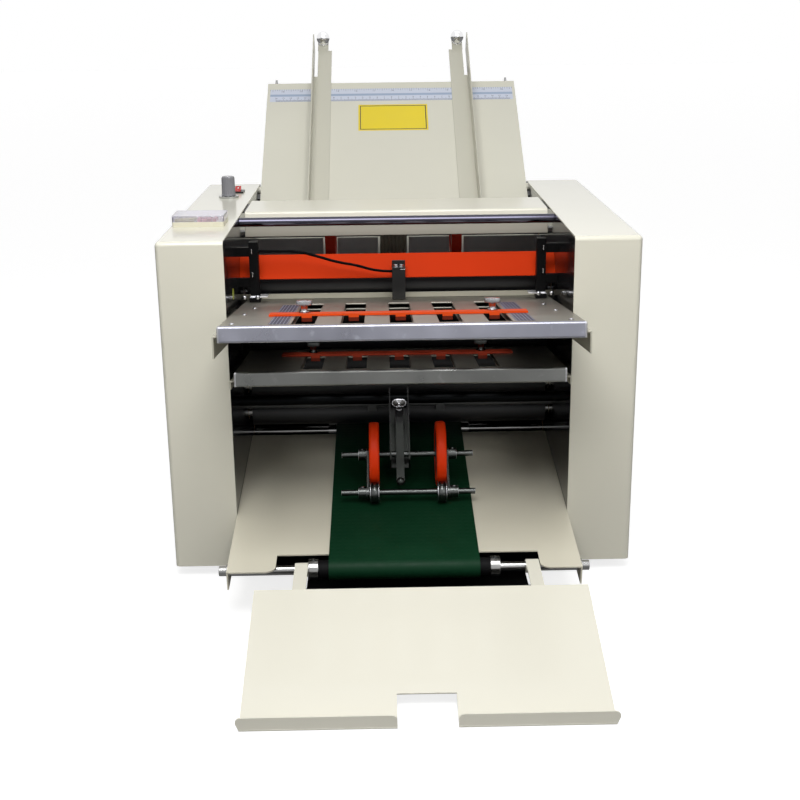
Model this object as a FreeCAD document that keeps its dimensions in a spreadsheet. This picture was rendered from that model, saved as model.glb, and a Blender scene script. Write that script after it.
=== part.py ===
"""Desk paper folding machine as a parametric document.

Machine coordinates: x to the right, y to the rear from the covers' front faces, z up from the
covers' lower edges. Each finished sub-part is then moved by front_y and foot_height, so that the
row's origin lies on the floor at the middle of the machine's outline. Millimetres throughout.
"""
import FreeCAD
import Part
import math
import os
import re
import Sketcher

SIZES = {
    # whole machine
    "front_y": -178.6,
    "foot_height": 12.0,
    "machine_width": 486.0,
    "machine_depth": 432.0,
    "machine_height": 350.0,
    "inner_width": 350.0,
    "frame_thickness": 4.0,
    "cover_wall": 1.6,
    "cover_bend": 4.5,
    "sheet_wall": 1.5,
    "running_gap": 0.3,
    "bore_gap": 0.05,
    "cut_overrun": 1.0,
    "screw_radius": 4.0,
    "screw_head": 1.6,
    "cover_screw_low": 40.0,
    "cover_screw_rise": 250.0,
    "cover_screw_inset": 14.0,
    # base pan and feet
    "pan_front": -8.0,
    "pan_flange": 18.0,
    "pan_flange_inset": 24.0,
    "rear_panel_height": 330.0,
    "vent_length": 60.0,
    "vent_width": 5.0,
    "vent_pitch": 14.0,
    "vent_low": 70.0,
    "vent_side": 90.0,
    "apron_width": 228.0,
    "apron_shift": 14.0,
    "apron_bend_y": -62.0,
    "apron_tip_y": -108.0,
    "apron_rise": 22.0,
    "foot_radius": 15.0,
    "foot_taper": 3.0,
    "foot_inset_side": 25.0,
    "foot_inset_front": 45.0,
    "foot_inset_rear": 42.0,
    # cross members
    "tie_radius": 6.0,
    "tie_low_z": 25.0,
    "tie_front_y": 40.0,
    "tie_rear_inset": 22.0,
    "tie_tray_drop": 49.26,
    "front_rod_radius": 5.0,
    "front_rod_y": 153.0,
    "front_rod_drop": 6.0,
    "stay_y": 112.0,
    "stay_z": 150.0,
    "stripper_rod_radius": 3.0,
    "stripper_rod_y": 143.0,
    "stripper_rod_z": 134.0,
    "stripper_width": 10.0,
    "stripper_depth": 8.0,
    "stripper_height": 15.0,
    "stripper_spacing": 78.0,
    "stripper_shift": 8.0,
    # bridge over the feed wheels
    "bridge_side_gap": 2.8,
    "bridge_front_y": 191.0,
    "bridge_rear_y": 281.0,
    "bridge_top_drop": 0.5,
    "bridge_drop": 27.5,
    "bridge_lean": 6.0,
    "bridge_return": 8.0,
    "bridge_bend": 3.2,
    "bridge_tab_depth": 60.0,
    "bridge_tab_reach": 14.0,
    "bridge_tab_wall": 2.0,
    # orange guide plate across the machine
    "guide_y": 133.0,
    "guide_z": 284.0,
    "guide_height": 29.4,
    "guide_lean": 35.3,
    "guide_return": 8.0,
    # paper sensor and its lead
    "sensor_x": 0.8,
    "sensor_y": 119.0,
    "sensor_z": 262.4,
    "sensor_width": 14.6,
    "sensor_depth": 11.0,
    "sensor_height": 33.0,
    "sensor_bracket_wall": 2.0,
    "sensor_head_rise": 6.0,
    "sensor_nut_radius": 2.2,
    "sensor_nut_height": 3.0,
    "sensor_nut_spacing": 6.0,
    "lead_radius": 1.5,
    # infeed guides in front of the feed wheels
    "gate_y": 270.0,
    "gate_foot_z": 278.0,
    "gate_top_z": 305.0,
    "gate_cut_z": 282.0,
    "gate_cut_side": 2.5,
    "mouth_y": 190.0,
    "mouth_under": 2.0,
    "mouth_over": 3.0,
    "infeed_rear_y": 302.0,
    "infeed_rear_z": 274.4,
    "pad_width": 30.0,
    "pad_length": 20.0,
    "pad_height": 4.0,
    "pad_sink": 0.1,
    # feed tray, its rail and the paper guides, measured along the tray from the wheels' contact
    "feed_contact_y": 310.1,
    "feed_contact_z": 280.6,
    "feed_slope": 34.5,
    "tray_side_gap": 2.5,
    "tray_run": 332.4,
    "tray_foot": 8.0,
    "tray_flange": 12.0,
    "tray_end_flange": 10.0,
    "boss_radius": 5.0,
    "boss_depth": 6.0,
    "boss_low_run": 30.0,
    "boss_high_run": 120.0,
    "rail_radius": 4.0,
    "rail_gap": 8.6,
    "rail_drop": 12.0,
    "rail_side_gap": 15.0,
    "rail_ear": 3.0,
    "rail_ear_reach": 13.6,
    "rail_ear_top": 4.0,
    "rail_ear_bottom": 17.0,
    "guide_half_spacing": 108.0,
    "guide_foot_run": 50.0,
    "guide_run": 354.0,
    "guide_blade": 30.0,
    "guide_flange": 24.0,
    "guide_lift": 0.3,
    "guide_slot_width": 4.5,
    "guide_slot_run": 345.0,
    "guide_neck_width": 15.0,
    "guide_neck_length": 28.0,
    "guide_neck_inset": 5.0,
    "hook_width": 18.0,
    "hook_inset": 4.0,
    "hook_depth": 14.0,
    "hook_gap": 1.6,
    "hook_drop": 18.0,
    "guide_knob_radius": 9.25,
    "guide_knob_run": 420.0,
    "guide_knob_shank": 3.0,
    "guide_knob_flange": 6.5,
    "guide_knob_flange_height": 2.0,
    "guide_knob_neck": 0.3,
    "guide_knob_tail": 5.0,
    "knob_ball_share": 0.8,
    # feed shaft and wheels
    "shaft_radius": 5.0,
    "feed_wheel_radius": 32.0,
    "feed_wheel_width": 12.4,
    "feed_wheel_spacing": 152.0,
    "centre_wheel_width": 32.0,
    "centre_groove_width": 2.4,
    "centre_groove_depth": 1.6,
    "wheel_shift": -3.0,
    # fold rollers
    "column_y": 170.0,
    "stagger": 6.0,
    "first_roller_z": 267.8,
    "roller_radius": 15.0,
    "roller_side_gap": 5.0,
    "nip_gap": 0.3,
    "gear_width": 8.0,
    "gear_side_gap": 1.0,
    "bush_radius": 8.0,
    "bush_flange": 2.0,
    "bush_flange_radius": 10.0,
    "shaft_end": 2.0,
    # pulleys, belts and motor
    "pulley_side_gap": 3.0,
    "pulley_width": 8.0,
    "pulley_rim": 0.8,
    "pulley_rim_height": 2.4,
    "belt_thickness": 1.6,
    "belt_side_gap": 0.3,
    "feed_pulley_radius": 14.0,
    "motor_pulley_radius": 10.0,
    "driven_pulley_radius": 16.0,
    "exit_pulley_radius": 12.0,
    "motor_shift": 7.0,
    "motor_z": 70.0,
    "motor_radius": 32.0,
    "motor_length": 100.0,
    "motor_cap": 12.0,
    "motor_cap_step": 3.0,
    "motor_boss_radius": 18.0,
    "motor_boss_length": 6.0,
    "motor_shaft_hole": 8.0,
    "motor_foot_width": 50.0,
    "motor_foot_length": 60.0,
    "motor_foot_wall": 3.0,
    "motor_foot_inset": 20.0,
    # buckle plates
    "plate_mouth_y": 154.0,
    "plate_side_gap": 6.0,
    "plate_gap": 4.0,
    "plate_spacer": 10.0,
    "plate_runner_inset": 3.0,
    "plate_runner_width": 8.0,
    "plate_runner_height": 1.7,
    "slot_width": 22.0,
    "slot_pitch": 46.0,
    "slot_rear_run": 64.5,
    "slot_short_run": 21.5,
    "slot_end_margin": 11.0,
    "upper_slope": 7.5,
    "upper_run": 272.3,
    "lower_slope": 7.0,
    "lower_run": 158.0,
    "bar_side_gap": 5.0,
    "bar_thickness": 5.0,
    "bar_height": 15.5,
    "bar_rise": 0.4,
    "bar_round": 2.2,
    "bar_groove": 1.4,
    "bar_groove_height": 4.0,
    "stop_width": 254.0,
    "stop_depth": 20.0,
    "stop_wall": 2.0,
    "stop_shift": -2.0,
    "upper_stop_run": 183.6,
    "lower_stop_run": 46.3,
    "finger_width": 10.0,
    "finger_depth": 4.0,
    "stop_knob_spacing": 186.0,
    "stop_knob_back": 4.0,
    "stop_knob_radius": 8.0,
    "stop_knob_head": 4.5,
    "stop_knob_neck_radius": 3.6,
    "stop_knob_neck": 6.0,
    "stop_knob_washer_radius": 5.0,
    "stop_knob_washer": 1.2,
    "stop_knob_shank": 2.2,
    "plate_rail_side_gap": 0.3,
    "plate_rail_flange": 14.0,
    "plate_rail_leg": 21.0,
    "lower_rail_leg": 9.0,
    "plate_rail_nose": 7.0,
    "plate_rail_rear_run": 14.0,
    "strip_y": 151.0,
    "strip_height": 6.0,
    "rear_plate_y": 192.0,
    "rear_plate_end_gap": 34.0,
    "rear_bracket_width": 16.0,
    "rear_bracket_wall": 2.0,
    # posts in front of the guide plate's ends
    "post_side_gap": 13.0,
    "post_y": 118.0,
    "post_width": 10.0,
    "post_depth": 11.0,
    "post_low_z": 267.6,
    "post_height": 60.0,
    "post_foot_width": 12.0,
    "post_foot_height": 5.4,
    "post_foot_front": 4.0,
    "post_arm_height": 10.0,
    "post_arm_depth": 6.0,
    "post_arm_step": 34.0,
    "clip_width": 9.0,
    "clip_depth": 14.0,
    "clip_wall": 0.8,
    # conveyor, measured along the table from its front edge
    "conveyor_y": -110.0,
    "conveyor_z": 43.0,
    "belt_slope": 7.78,
    "table_side_gap": 0.2,
    "table_run": 300.0,
    "table_flange": 20.0,
    "table_notch_side": 44.5,
    "table_notch_shift": 3.5,
    "table_notch_run": 31.0,
    "table_round": 10.0,
    "front_roller_run": 16.5,
    "rear_roller_run": 327.0,
    "conveyor_roller_radius": 9.0,
    "conveyor_roller_length": 170.0,
    "conveyor_belt_width": 150.0,
    "conveyor_belt_thickness": 1.2,
    "belt_lift": 0.6,
    "conveyor_shaft_reach": 9.0,
    "collar_width": 9.6,
    "collar_radius": 10.4,
    "clip_ring_radius": 7.0,
    "clip_ring_wall": 1.2,
    # press wheels over the belt
    "press_x": 7.0,
    "press_arm_shift": 8.0,
    "press_shaft_y": 56.0,
    "press_shaft_radius": 3.2,
    "press_shaft_length": 143.0,
    "press_wheel_radius": 35.5,
    "press_wheel_width": 10.8,
    "press_wheel_spacing": 72.0,
    "press_hub_radius": 9.0,
    "press_web": 4.0,
    "press_rim": 6.0,
    "press_collar_width": 9.0,
    "press_collar_radius": 6.2,
    "arm_width": 22.0,
    "arm_wall": 1.5,
    "arm_depth": 19.0,
    "arm_below": 10.0,
    "arm_tip": 12.0,
    "arm_tail": 9.0,
    "bar_strip_width": 8.5,
    "bar_strip_wall": 4.0,
    "bar_strip_lift": 5.0,
    "bar_strip_tip": 38.0,
    "bar_strip_tail": 14.0,
    "arm_ball_radius": 4.6,
    "arm_spacer_run": 46.0,
    "arm_spacer_length": 8.0,
    "press_screw_run": 52.0,
    "press_screw_shank": 2.5,
    "press_screw_head_radius": 7.6,
    "press_screw_head": 6.0,
    "press_screw_nut_radius": 4.0,
    "press_screw_nut": 4.0,
    "press_screw_neck": 3.0,
    "trailing_y": 17.2,
    "trailing_wheel_radius": 12.0,
    "trailing_wheel_width": 10.0,
    "trailing_arm_wall": 2.0,
    "trailing_arm_width": 12.0,
    # delivery tray hooked over the conveyor's front shaft
    "delivery_slope": 16.6,
    "delivery_back": 46.7,
    "delivery_rise": 16.6,
    "delivery_side_gap": 15.0,
    "delivery_shift": 15.2,
    "delivery_notch": 52.0,
    "delivery_notch_run": 38.0,
    "delivery_lip": 13.0,
    "delivery_lip_lean": 5.0,
    "delivery_lip_flare": 5.0,
    "delivery_lip_round": 5.0,
    "leg_width": 13.0,
    "left_leg_x": -108.5,
    "right_leg_x": 120.5,
    "eye_wall": 1.8,
    # controls on the left cover
    "counter_x": -211.0,
    "counter_y": 89.5,
    "counter_width": 55.0,
    "counter_depth": 40.0,
    "counter_height": 11.6,
    "counter_round": 2.0,
    "counter_wall": 2.0,
    "counter_step": 1.2,
    "counter_key_size": 5.0,
    "counter_key_depth": 4.0,
    "counter_key_pitch": 9.0,
    "counter_body_inset": 4.0,
    "counter_body_depth": 22.0,
    "knob_x": -202.5,
    "knob_rear_inset": 127.0,
    "knob_radius": 8.6,
    "knob_taper": 0.6,
    "knob_height": 23.0,
    "knob_shaft_radius": 3.0,
    "knob_ring_radius": 12.0,
    "knob_ring_height": 2.5,
    "knob_mark_width": 1.5,
    "knob_mark_height": 0.4,
    "pot_radius": 8.0,
    "pot_height": 11.0,
    "switch_x": -196.0,
    "switch_rear_inset": 81.0,
    "switch_width": 15.0,
    "switch_depth": 21.0,
    "switch_rim": 2.0,
    "switch_rim_height": 2.0,
    "switch_body_depth": 16.0,
    "rocker_height": 8.0,
    "rocker_tilt": 8.0,
    "rocker_pivot_drop": 2.5,
    "rocker_end_gap": 0.8,
    "rocker_pin_radius": 1.2,
    "rocker_foot_share": 0.6,
    "inlet_x": -209.0,
    "inlet_z": 60.0,
    "inlet_width": 30.0,
    "inlet_height": 24.0,
    "inlet_depth": 20.0,
    "inlet_rim": 3.0,
    "inlet_rim_height": 2.0,
    "inlet_socket_depth": 14.0,
    "inlet_wall": 3.0,
}

FOLLOWING_SIZES = {
    "bridge_width": "inner_width - 2 * bridge_side_gap",
    "bridge_top_z": "machine_height - bridge_top_drop",
    "front_rod_z": "machine_height - front_rod_drop",
    "tray_width": "inner_width - 2 * tray_side_gap",
    "tie_rear_y": "machine_depth - tie_rear_inset",
    "tie_top_z": "feed_contact_z + (tie_rear_y - feed_contact_y) * tan(feed_slope * 1deg) - tie_tray_drop",
    "rail_half_length": "inner_width / 2 - rail_side_gap",
    "roller_face": "inner_width - 2 * roller_side_gap",
    "plate_width": "inner_width - 2 * plate_side_gap",
    "bar_width": "inner_width - 2 * bar_side_gap",
    "plate_rail_outer": "inner_width / 2 - plate_rail_side_gap",
    "rear_plate_run": "machine_depth - rear_plate_y - rear_plate_end_gap",
    "post_x": "inner_width / 2 - post_side_gap - post_width",
    "table_width": "inner_width - 2 * table_side_gap",
    "table_notch": "inner_width - 2 * table_notch_side",
    "conveyor_shaft_length": "inner_width + 2 * conveyor_shaft_reach",
    "delivery_width": "inner_width - 2 * delivery_side_gap",
    "motor_y": "(conveyor_y + rear_roller_run * cos(belt_slope * 1deg) + machine_depth) / 2 + motor_shift",
    "knob_y": "machine_depth - knob_rear_inset",
    "switch_y": "machine_depth - switch_rear_inset",
}

ROLLERS = 6
GEAR_TEETH = 20
SLOTS = 5
KEYS = 5
VENTS = 8
GROOVES = 5
PRESSURE_ANGLE = 20.0
FLANK_POINTS = 4
BACKLASH_SHARE = 0.03
ROOT_SHARE = 1.25
FLANK_START_SHARE = 0.1
ARC_SHARE = 0.45
LEAD_POINTS = [
    (-152.0, 124.0, 316.5), (-131.0, 124.0, 316.5), (-109.0, 124.6, 316.0), (-88.0, 124.0, 310.5),
    (-67.0, 125.0, 303.5), (-45.0, 125.6, 299.5), (-22.0, 125.0, 292.5), (-6.5, 125.0, 292.5),
]

DOC = FreeCAD.newDocument("paper_folding_machine")
SHEET = DOC.addObject("Spreadsheet::Sheet", "Sizes")
SUB_PARTS = []


def fill_sheet():
    """Write every size into the sheet, one named cell each, and then those that follow them."""
    for row, (name, value) in enumerate(SIZES.items(), start=1):
        SHEET.set(f"A{row}", name)
        SHEET.set(f"B{row}", str(value))
        SHEET.setAlias(f"B{row}", name)
    for row, (name, rule) in enumerate(FOLLOWING_SIZES.items(), start=len(SIZES) + 1):
        SHEET.set(f"A{row}", name)
        SHEET.set(f"B{row}", "=" + rule)
        SHEET.setAlias(f"B{row}", name)
    DOC.recompute()


def size(name):
    """Read one size back from the sheet."""
    return float(SHEET.get(name))


def formula(text):
    """Turn a sum of size names into a formula on the sheet's cells."""
    names = SIZES | FOLLOWING_SIZES
    return re.sub(r"[a-z][a-z_0-9]*", lambda word: ("Sizes." if word[0] in names else "") + word[0], text)


def bind(thing, **rules):
    """Bind properties of one object to formulas."""
    for name, text in rules.items():
        thing.setExpression(name, formula(text))
    return thing


def base_at(thing, x="0", y="0", z="0"):
    """Bind the three coordinates of an object's placement."""
    for letter, text in (("x", x), ("y", y), ("z", z)):
        thing.setExpression("Placement.Base." + letter, formula(text))
    return thing


def turn(thing, axis, angle):
    """Turn an object about an axis by a bound angle."""
    thing.Placement = FreeCAD.Placement(thing.Placement.Base, FreeCAD.Rotation(FreeCAD.Vector(*axis), 1.0))
    thing.setExpression("Placement.Rotation.Angle", formula(angle))
    return thing


def box(name, low, extent):
    """Make a box from its lowest corner and its three lengths."""
    solid = bind(DOC.addObject("Part::Box", name), Length=extent[0], Width=extent[1], Height=extent[2])
    return base_at(solid, *low)


AXIS_TURNS = {"x": ((0, 1, 0), 90), "y": ((1, 0, 0), -90), "z": ((0, 0, 1), 0)}


def point_along(solid, axis, start):
    """Lay a solid made along z along another axis, from a start point."""
    direction, angle = AXIS_TURNS[axis]
    rotation = FreeCAD.Rotation(FreeCAD.Vector(*direction), angle)
    solid.Placement = FreeCAD.Placement(FreeCAD.Vector(), rotation)
    return base_at(solid, *start)


def rod(name, axis, radius, length, start):
    """Make a round bar along an axis."""
    solid = bind(DOC.addObject("Part::Cylinder", name), Radius=radius, Height=length)
    return point_along(solid, axis, start)


def cone(name, axis, radius_low, radius_high, length, start):
    """Make a tapered round bar along an axis."""
    solid = bind(DOC.addObject("Part::Cone", name), Radius1=radius_low, Radius2=radius_high, Height=length)
    return point_along(solid, axis, start)


def ball(name, radius, centre):
    """Make a ball."""
    return base_at(bind(DOC.addObject("Part::Sphere", name), Radius=radius), *centre)


def fuse(name, *solids):
    """Join solids into one."""
    joined = DOC.addObject("Part::MultiFuse", name)
    joined.Shapes = list(solids)
    return joined


def cut(name, base, *tools):
    """Take the tools away from the base."""
    result = DOC.addObject("Part::Cut", name)
    result.Base = base
    result.Tool = tools[0] if len(tools) == 1 else fuse(name + "_tools", *tools)
    return result


def ring(name, axis, radius, bore, length, start):
    """Make a round collar with a bore right through."""
    letter = "xyz".index(axis)
    hole_start = list(start)
    hole_start[letter] = f"{start[letter]} - cut_overrun"
    outer = rod(name + "_outer", axis, radius, length, start)
    return cut(name, outer, rod(name + "_bore", axis, bore, f"{length} + 2 * cut_overrun", hole_start))


def plane_of(body, role):
    """Find one of a body's own origin planes."""
    return next(feature for feature in body.Origin.OriginFeatures if feature.Role == role)


def profile(name, role, outline, start, length, rounds=()):
    """Pad a closed outline from one of the origin planes.

    The outline's points are pairs of formulas. rounds lists (point numbers, radius) pairs: the
    padded edges at those points get that radius.
    """
    body = DOC.addObject("PartDesign::Body", name)
    sketch = body.newObject("Sketcher::SketchObject", name + "_outline")
    sketch.AttachmentSupport = [(plane_of(body, role), "")]
    sketch.MapMode = "FlatFace"
    count = len(outline)
    angles = [math.tau * i / count for i in range(count)]
    rough = [FreeCAD.Vector(math.cos(angle), math.sin(angle), 0) for angle in angles]
    for i in range(count):
        sketch.addGeometry(Part.LineSegment(rough[i], rough[(i + 1) % count]), False)
    for i in range(count):
        sketch.addConstraint(Sketcher.Constraint("Coincident", i, 2, (i + 1) % count, 1))
    for i, pair in enumerate(outline):
        for kind, text, value in zip(("DistanceX", "DistanceY"), pair, (rough[i].x, rough[i].y)):
            number = sketch.addConstraint(Sketcher.Constraint(kind, -1, 1, i, 1, value))
            sketch.setExpression(f"Constraints[{number}]", formula(text))
    sketch.setExpression("AttachmentOffset.Base.z", formula(start))
    DOC.recompute()
    pad = body.newObject("PartDesign::Pad", name + "_pad")
    pad.Profile = (sketch, [""])
    pad.setExpression("Length", formula(length))
    DOC.recompute()
    last = pad
    for number, (points, radius) in enumerate(rounds):
        edges = []
        for i in points:
            corner = sketch.Placement.multVec(sketch.Geometry[i].StartPoint)
            edges += edges_through(last.Shape, corner,
                                   sketch.Placement.Rotation.multVec(FreeCAD.Vector(0, 0, 1)))
        fillet = body.newObject("PartDesign::Fillet", f"{name}_round_{number}")
        fillet.Base = (last, edges)
        fillet.setExpression("Radius", formula(radius))
        DOC.recompute()
        last = fillet
    return body


def edges_through(shape, point, direction):
    """Name the straight edges that lie on the line through a point."""
    names = []
    for number, edge in enumerate(shape.Edges, start=1):
        if all((vertex.Point - point).cross(direction).Length < 1e-5 for vertex in edge.Vertexes):
            names.append(f"Edge{number}")
    return names


def block(name, low, extent, corners, radius):
    """Make a box whose named edges are rounded, such as "x-y-" for the low corner along z."""
    body = profile(
        name, "XY_Plane",
        [(low[0], low[1]), (f"{low[0]} + {extent[0]}", low[1]),
         (f"{low[0]} + {extent[0]}", f"{low[1]} + {extent[1]}"), (low[0], f"{low[1]} + {extent[1]}")],
        low[2], extent[2])
    pad = body.Tip
    bounds = pad.Shape.BoundBox
    limits = {"x-": bounds.XMin, "x+": bounds.XMax, "y-": bounds.YMin, "y+": bounds.YMax,
              "z-": bounds.ZMin, "z+": bounds.ZMax}
    edges = []
    for number, edge in enumerate(pad.Shape.Edges, start=1):
        middle = edge.CenterOfMass
        for corner in corners:
            sides = (corner[:2], corner[2:])
            if all(abs(getattr(middle, side[0]) - limits[side]) < 1e-6 for side in sides):
                edges.append(f"Edge{number}")
    fillet = body.newObject("PartDesign::Fillet", name + "_round")
    fillet.Base = (pad, edges)
    fillet.setExpression("Radius", formula(radius))
    DOC.recompute()
    return body


def finish(name, solids, y="0", z="0", slope=None):
    """Group a sub-part's solids, seat it in the row's frame and keep it for export."""
    group = DOC.addObject("Part::Compound", name)
    group.Label = name
    group.Links = list(solids)
    if slope is not None:
        turn(group, (1, 0, 0), slope)
    base_at(group, "0", f"front_y + {y}", f"foot_height + {z}")
    SUB_PARTS.append(group)
    return group


def tilted(name, solids, y, z, slope):
    """Group solids drawn in a sloping frame, for use inside a sub-part."""
    group = DOC.addObject("Part::Compound", name)
    group.Links = list(solids)
    turn(group, (1, 0, 0), slope)
    return base_at(group, "0", y, z)


def coded(name, shape):
    """Keep a shape that formulas alone can't draw."""
    feature = DOC.addObject("Part::Feature", name)
    feature.Shape = shape
    return feature


HALF_INNER = "inner_width / 2"
OUTSIDE = "inner_width / 2 + frame_thickness"
GEAR_X = f"({OUTSIDE} + bush_flange + gear_side_gap)"
NEAR_PULLEY_X = f"({GEAR_X} + gear_width + pulley_side_gap)"
FAR_PULLEY_X = f"({NEAR_PULLEY_X} + pulley_width + pulley_side_gap)"
SHAFT_LEFT_X = f"(-({OUTSIDE} + bush_flange + shaft_end))"
ROLLER_STEP = "sqrt((2 * roller_radius + nip_gap) ^ 2 - stagger ^ 2)"
BELT_DEPTH = "(belt_lift - conveyor_roller_radius - running_gap)"
ROCKER_PIVOT_Z = "(machine_height + switch_rim_height - rocker_pivot_drop)"
FEED_SHAFT = (
    "(feed_contact_y - (feed_wheel_radius + running_gap) * sin(feed_slope))",
    "(feed_contact_z + (feed_wheel_radius + running_gap) * cos(feed_slope))",
)


def roller_place(number):
    """Give the formulas of a fold roller's axis, counted from the top."""
    sign = "+" if number % 2 == 0 else "-"
    return f"(column_y {sign} stagger / 2)", f"(first_roller_z - {number} * {ROLLER_STEP})"


def nip_height(number):
    """Give the height formula of the nip under a roller, counted from the top."""
    return f"(first_roller_z - {number + 0.5} * {ROLLER_STEP})"


def conveyor_place(run):
    """Give the formulas of a point under the belt at a run along the table."""
    return (f"(conveyor_y + {run} * cos(belt_slope) - {BELT_DEPTH} * sin(belt_slope))",
            f"(conveyor_z + {run} * sin(belt_slope) + {BELT_DEPTH} * cos(belt_slope))")


def bush_places():
    """List the axes of every shaft that runs in the side frames."""
    return [roller_place(k) for k in range(ROLLERS)] + [FEED_SHAFT, conveyor_place("rear_roller_run")]


def number_of(text):
    """Work out a formula with the help of a spare point that isn't part of the machine."""
    probe = DOC.getObject("Probe") or DOC.addObject("Part::Vertex", "Probe")
    probe.setExpression("X", formula(text))
    probe.recompute()
    value = probe.X.Value
    probe.setExpression("X", None)
    return value


def numbers_of(pair):
    """Work out a pair of formulas."""
    return number_of(pair[0]), number_of(pair[1])


def side_frames():
    """Make the two steel plates that carry every shaft."""
    for side, low_x in (("left", f"-({OUTSIDE})"), ("right", HALF_INNER)):
        plate = block(f"{side}_plate", (low_x, "cover_wall", "0"),
                      ("frame_thickness", "machine_depth - 2 * cover_wall", "machine_height - cover_wall"),
                      ["y-z+", "y+z+"], "cover_bend - cover_wall")
        through = "frame_thickness + 2 * cut_overrun"
        holes = [rod(f"{side}_hole_{i}", "x", "bush_radius + bore_gap", through,
                     (f"{low_x} - cut_overrun", y, z))
                 for i, (y, z) in enumerate(bush_places())]
        if side == "right":
            holes.append(rod("motor_hole", "x", "motor_shaft_hole", through,
                             (f"{low_x} - cut_overrun", "motor_y", "motor_z")))
        finish(f"{side}_side_frame", [cut(f"{side}_frame_cut", plate, *holes)])


def covers():
    """Make the two bent sheet covers with their rear screws."""
    width = "(machine_width - inner_width) / 2"
    for side, outer in (("left", "x-"), ("right", "x+")):
        low_x = "-machine_width / 2" if side == "left" else HALF_INNER
        corners = ["y-z+", "y+z+", outer + "z+", outer + "y-", outer + "y+"]
        shell = block(f"{side}_cover_outer", (low_x, "0", "0"), (width, "machine_depth", "machine_height"),
                      corners, "cover_bend")
        core_x = f"{low_x} + cover_wall" if side == "left" else f"{low_x} - cut_overrun"
        core = block(f"{side}_cover_core", (core_x, "cover_wall", "-cut_overrun"),
                     (f"{width} - cover_wall + cut_overrun", "machine_depth - 2 * cover_wall",
                      "machine_height - cover_wall + cut_overrun"), corners, "cover_bend - cover_wall")
        tools = [core]
        if side == "left":
            tools += cover_openings()
        screws = []
        for i, z in enumerate(("cover_screw_low", "cover_screw_low + cover_screw_rise")):
            for j, x in enumerate((f"{low_x} + cover_screw_inset",
                                   f"{low_x} + {width} - cover_screw_inset")):
                screws.append(rod(f"{side}_screw_{i}_{j}", "y", "screw_radius", "screw_head",
                                  (x, "machine_depth", z)))
        finish(f"{side}_cover", [cut(f"{side}_cover_cut", shell, *tools)] + screws)


def cover_openings():
    """Make the tools for the openings in the left cover."""
    low_z = "machine_height - cover_wall - cut_overrun"
    tall = "cover_wall + 2 * cut_overrun"
    return [
        box("switch_opening", ("switch_x - switch_width / 2 + switch_rim",
                               "switch_y - switch_depth / 2 + switch_rim", low_z),
            ("switch_width - 2 * switch_rim", "switch_depth - 2 * switch_rim", tall)),
        rod("knob_opening", "z", "knob_shaft_radius + running_gap", tall, ("knob_x", "knob_y", low_z)),
        box("counter_opening", ("counter_x - counter_width / 2 + counter_body_inset",
                                "counter_y + counter_body_inset", low_z),
            ("counter_width - 2 * counter_body_inset", "counter_depth - 2 * counter_body_inset", tall)),
        box("inlet_opening", ("inlet_x - inlet_width / 2 + inlet_rim",
                              "machine_depth - cover_wall - cut_overrun",
                              "inlet_z - inlet_height / 2 + inlet_rim"),
            ("inlet_width - 2 * inlet_rim", tall, "inlet_height - 2 * inlet_rim")),
    ]


def base_pan():
    """Make the black pan with its front apron and vented rear panel."""
    depth = "machine_depth - cover_wall - pan_front"
    floor = box("pan_floor", (f"-{HALF_INNER}", "pan_front", "0"), ("inner_width", depth, "sheet_wall"))
    flanges = [box(f"pan_flange_{i}", (x, "pan_front + pan_flange_inset", "0"),
                   ("sheet_wall", f"{depth} - 2 * pan_flange_inset", "pan_flange"))
               for i, x in enumerate((f"-{HALF_INNER}", f"{HALF_INNER} - sheet_wall"))]
    panel = box("rear_panel", (f"-{HALF_INNER}", "machine_depth - cover_wall - sheet_wall", "0"),
                ("inner_width", "sheet_wall", "rear_panel_height"))
    apron = profile("apron", "YZ_Plane",
                    [("pan_front + cut_overrun", "0"), ("apron_bend_y", "0"), ("apron_tip_y", "apron_rise"),
                     ("apron_tip_y", "apron_rise + sheet_wall"), ("apron_bend_y", "sheet_wall"),
                     ("pan_front + cut_overrun", "sheet_wall")],
                    "apron_shift - apron_width / 2", "apron_width")
    vents = [box(f"vent_{i}_{j}",
                 (f"{x} - vent_length / 2", "machine_depth - cover_wall - sheet_wall - cut_overrun",
                                   f"vent_low + {i} * vent_pitch"),
                 ("vent_length", "sheet_wall + 2 * cut_overrun", "vent_width"))
             for i in range(VENTS) for j, x in enumerate(("-vent_side", "vent_side"))]
    finish("base_pan", [cut("pan_cut", fuse("pan_sheet", floor, panel, apron, *flanges), *vents)])


def rubber_feet():
    """Make four tapered feet under the pan."""
    feet = []
    for i, x in enumerate((f"-({HALF_INNER} - foot_inset_side)", f"{HALF_INNER} - foot_inset_side")):
        for j, y in enumerate(("foot_inset_front", "machine_depth - foot_inset_rear")):
            feet.append(cone(f"foot_{i}_{j}", "z", "foot_radius - foot_taper", "foot_radius", "foot_height",
                             (x, y, "-foot_height")))
    finish("rubber_feet", feet)


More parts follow.
